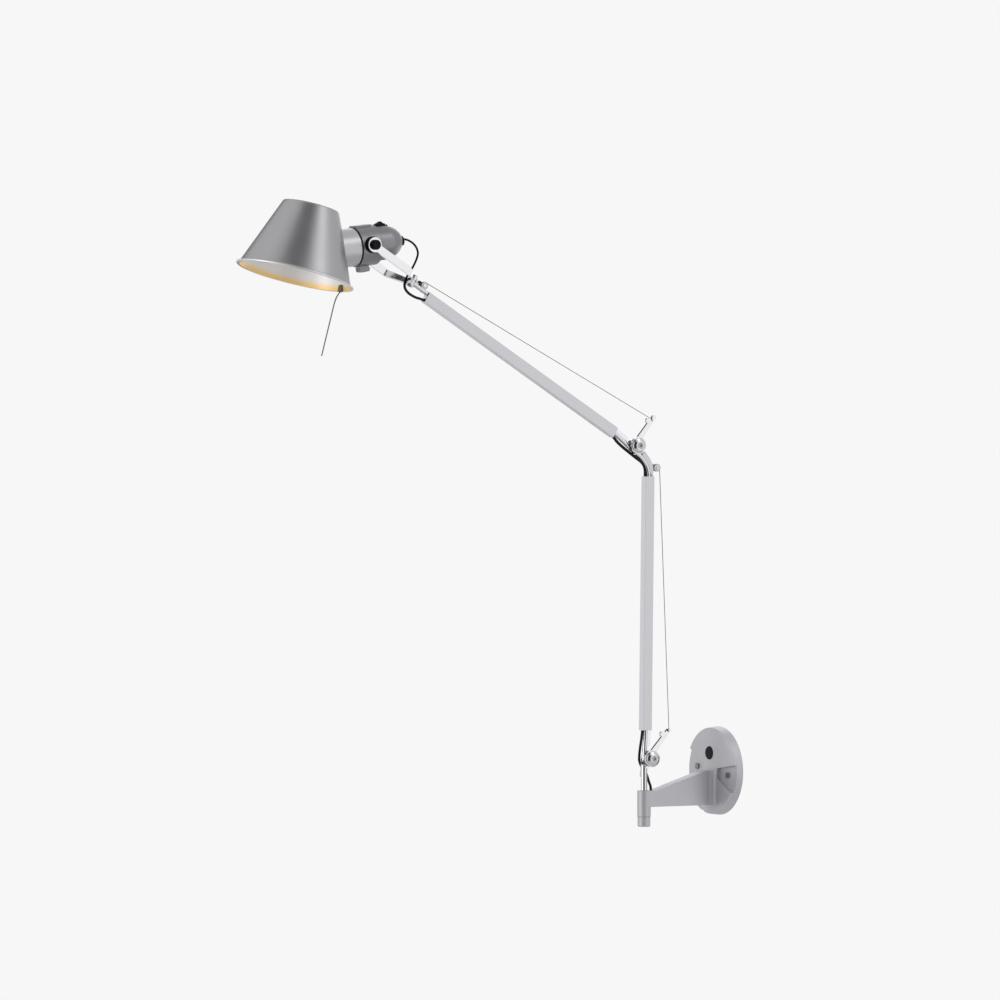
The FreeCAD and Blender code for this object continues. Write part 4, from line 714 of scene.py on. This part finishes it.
class LAMP_OT_studio(bpy.types.Operator):
    """Set the pale floor, the soft lamps, the backdrop and the camera."""
    bl_idname = "lamp.studio"
    bl_label = "Studio"

    def execute(self, context):
        settings = context.scene.studio
        self.lay_floor(settings)
        self.light_world(context, settings)
        self.hang_lamps(settings)
        self.set_camera(context, settings)
        context.scene.view_settings.view_transform = "Standard"
        return {"FINISHED"}

    def lay_floor(self, settings):
        start_clean()
        bpy.ops.mesh.primitive_plane_add(size=5.0, location=(0, -0.4, -1.0))
        floor = bpy.context.object
        floor.name = "floor"
        bpy.ops.object.mode_set(mode="EDIT")
        bpy.ops.mesh.subdivide(number_cuts=3)
        bpy.ops.object.mode_set(mode="OBJECT")
        floor.data.materials.append(matt_paint("matt_studio_floor", settings.floor))

    def light_world(self, context, settings):
        world = bpy.data.worlds.new("studio")
        context.scene.world = world
        world.use_nodes = True
        tree = world.node_tree
        tree.nodes.clear()
        seen = add_node(tree, "ShaderNodeBackground",
                        inputs={"Color": rgba(settings.backdrop), "Strength": 1.0})
        lit = add_node(tree, "ShaderNodeBackground",
                       inputs={"Color": rgba(settings.backdrop), "Strength": settings.fill_level})
        rays = add_node(tree, "ShaderNodeLightPath").outputs
        direct = add_node(tree, "ShaderNodeMath", {"operation": "MAXIMUM"},
                          {0: rays["Is Camera Ray"], 1: rays["Is Glossy Ray"]})
        direct = add_node(tree, "ShaderNodeMath", {"operation": "MAXIMUM"},
                          {0: direct.outputs[0], 1: rays["Is Transmission Ray"]})
        mix = add_node(tree, "ShaderNodeMixShader", inputs={0: direct.outputs[0], 1: lit.outputs[0],
                                                            2: seen.outputs[0]})
        add_node(tree, "ShaderNodeOutputWorld", inputs={"Surface": mix.outputs[0]})

    def hang_lamps(self, settings):
        """Hang soft lamps round the lamp, and the dark cards that its metal mirrors."""
        toward = Vector((math.sin(CAMERA_TURN), -math.cos(CAMERA_TURN), 0))
        right = Vector((math.cos(CAMERA_TURN), math.sin(CAMERA_TURN), 0))
        middle = Vector((0, -0.35, 0.4))
        for name, spot, wide, tall, power in (
                ("left_soft_lamp", middle - right * 1.85 + toward * 0.75 + Vector((0, 0, 0.4)), 0.8, 2.4,
                 settings.side_power),
                ("right_soft_lamp", Vector((1.7, 0.8, 0.6)), 1.0, 2.4, settings.side_power * 0.25),
                ("high_soft_lamp", Vector((1.6, 0.7, 2.4)), 0.9, 1.0, settings.side_power * 0.4),
                ("back_soft_lamp", Vector((-0.7, 1.5, 0.0)), 0.8, 0.8, settings.side_power * 0.2),
                ("rear_soft_lamp", middle - toward * 1.8 + Vector((0, 0, 1.0)), 1.2, 1.2,
                 settings.side_power * 0.4)):
            start_clean()
            bpy.ops.object.light_add(type="AREA", location=spot)
            lamp = bpy.context.object
            lamp.name = name
            lamp.data.shape = "RECTANGLE"
            lamp.data.size = wide
            lamp.data.size_y = tall
            lamp.data.energy = power
            lamp.rotation_euler = (middle - spot).to_track_quat("-Z", "Y").to_euler()
        card_finish = matt_paint("matt_dark_card", settings.card_tone)
        for name, spot, wide, tall in (
                ("front_card", middle + toward * 2.4, 2.2, 3.0),
                ("upper_card", middle + toward * 1.5 + Vector((0, 0, 2.0)), 1.7, 1.9),
                ("edge_card", Vector((-1.6, -0.3, 1.25)), 0.8, 1.0),
                ("rear_card", middle - toward * 2.2 - right * 0.4, 0.5, 3.0)):
            start_clean()
            bpy.ops.mesh.primitive_plane_add(size=1.0)
            card = bpy.context.object
            card.name = name
            card.scale = (wide, tall, 1)
            card.rotation_euler = (middle - spot).to_track_quat("Z", "Y").to_euler()
            card.location = spot
            bpy.ops.object.transform_apply(location=True, rotation=True, scale=True)
            card.data.materials.append(card_finish)
            card.visible_camera = False
            card.visible_shadow = False
            card.visible_diffuse = False

    def set_camera(self, context, settings):
        """Set the camera as the photograph's: round from the front, a little up, with a long lens."""
        turn, lift = CAMERA_TURN, CAMERA_LIFT
        back = Vector((math.sin(turn) * math.cos(lift), -math.cos(turn) * math.cos(lift), math.sin(lift)))
        right = Vector((math.cos(turn), math.sin(turn), 0))
        up = back.cross(right)
        distance = settings.camera_distance
        across = (ORIGIN_PIXEL[0] - IMAGE_SIZE / 2) * PIXEL
        down = (ORIGIN_PIXEL[1] - IMAGE_SIZE / 2) * PIXEL
        place = back * distance - right * across + up * down
        start_clean()
        bpy.ops.object.camera_add(location=place)
        camera = bpy.context.object
        camera.matrix_world = Matrix.Translation(place) @ Matrix((right, up, back)).transposed().to_4x4()
        camera.data.sensor_width = 36.0
        camera.data.lens = camera.data.sensor_width * (distance / PIXEL) / IMAGE_SIZE
        camera.data.clip_end = 100.0
        context.scene.camera = camera


class LAMP_PT_panel(bpy.types.Panel):
    """The lamp's steps, in order."""
    bl_idname = "LAMP_PT_panel"
    bl_label = "Wall lamp"
    bl_space_type = "VIEW_3D"
    bl_region_type = "UI"
    bl_category = "Wall lamp"

    def draw(self, context):
        for operator in OPERATORS:
            self.layout.operator(operator.bl_idname)
        for group in (context.scene.lamp_finishes, context.scene.lamp_sizes, context.scene.studio):
            for key in group.__annotations__:
                self.layout.prop(group, key)


OPERATORS = (LAMP_OT_finishes, LAMP_OT_shade, LAMP_OT_bulb, LAMP_OT_knobs, LAMP_OT_cables, LAMP_OT_ties,
             LAMP_OT_pulleys, LAMP_OT_studio)
GROUPS = (LampFinishes, LampSizes, StudioSettings)


def register():
    """Register the classes and hang their settings on the scene."""
    for kind in GROUPS + OPERATORS + (LAMP_PT_panel,):
        bpy.utils.register_class(kind)
    bpy.types.Scene.lamp_finishes = PointerProperty(type=LampFinishes)
    bpy.types.Scene.lamp_sizes = PointerProperty(type=LampSizes)
    bpy.types.Scene.studio = PointerProperty(type=StudioSettings)


def unregister():
    """Take the settings and the classes away again."""
    del bpy.types.Scene.studio
    del bpy.types.Scene.lamp_sizes
    del bpy.types.Scene.lamp_finishes
    for kind in reversed(GROUPS + OPERATORS + (LAMP_PT_panel,)):
        bpy.utils.unregister_class(kind)


def main():
    """Build the visual lamp."""
    register()
    bpy.ops.lamp.finishes()
    bpy.ops.lamp.shade()
    bpy.ops.lamp.bulb()
    bpy.ops.lamp.knobs()
    bpy.ops.lamp.cables()
    bpy.ops.lamp.ties()
    bpy.ops.lamp.pulleys()
    bpy.ops.lamp.studio()


if __name__ == "__main__":
    main()
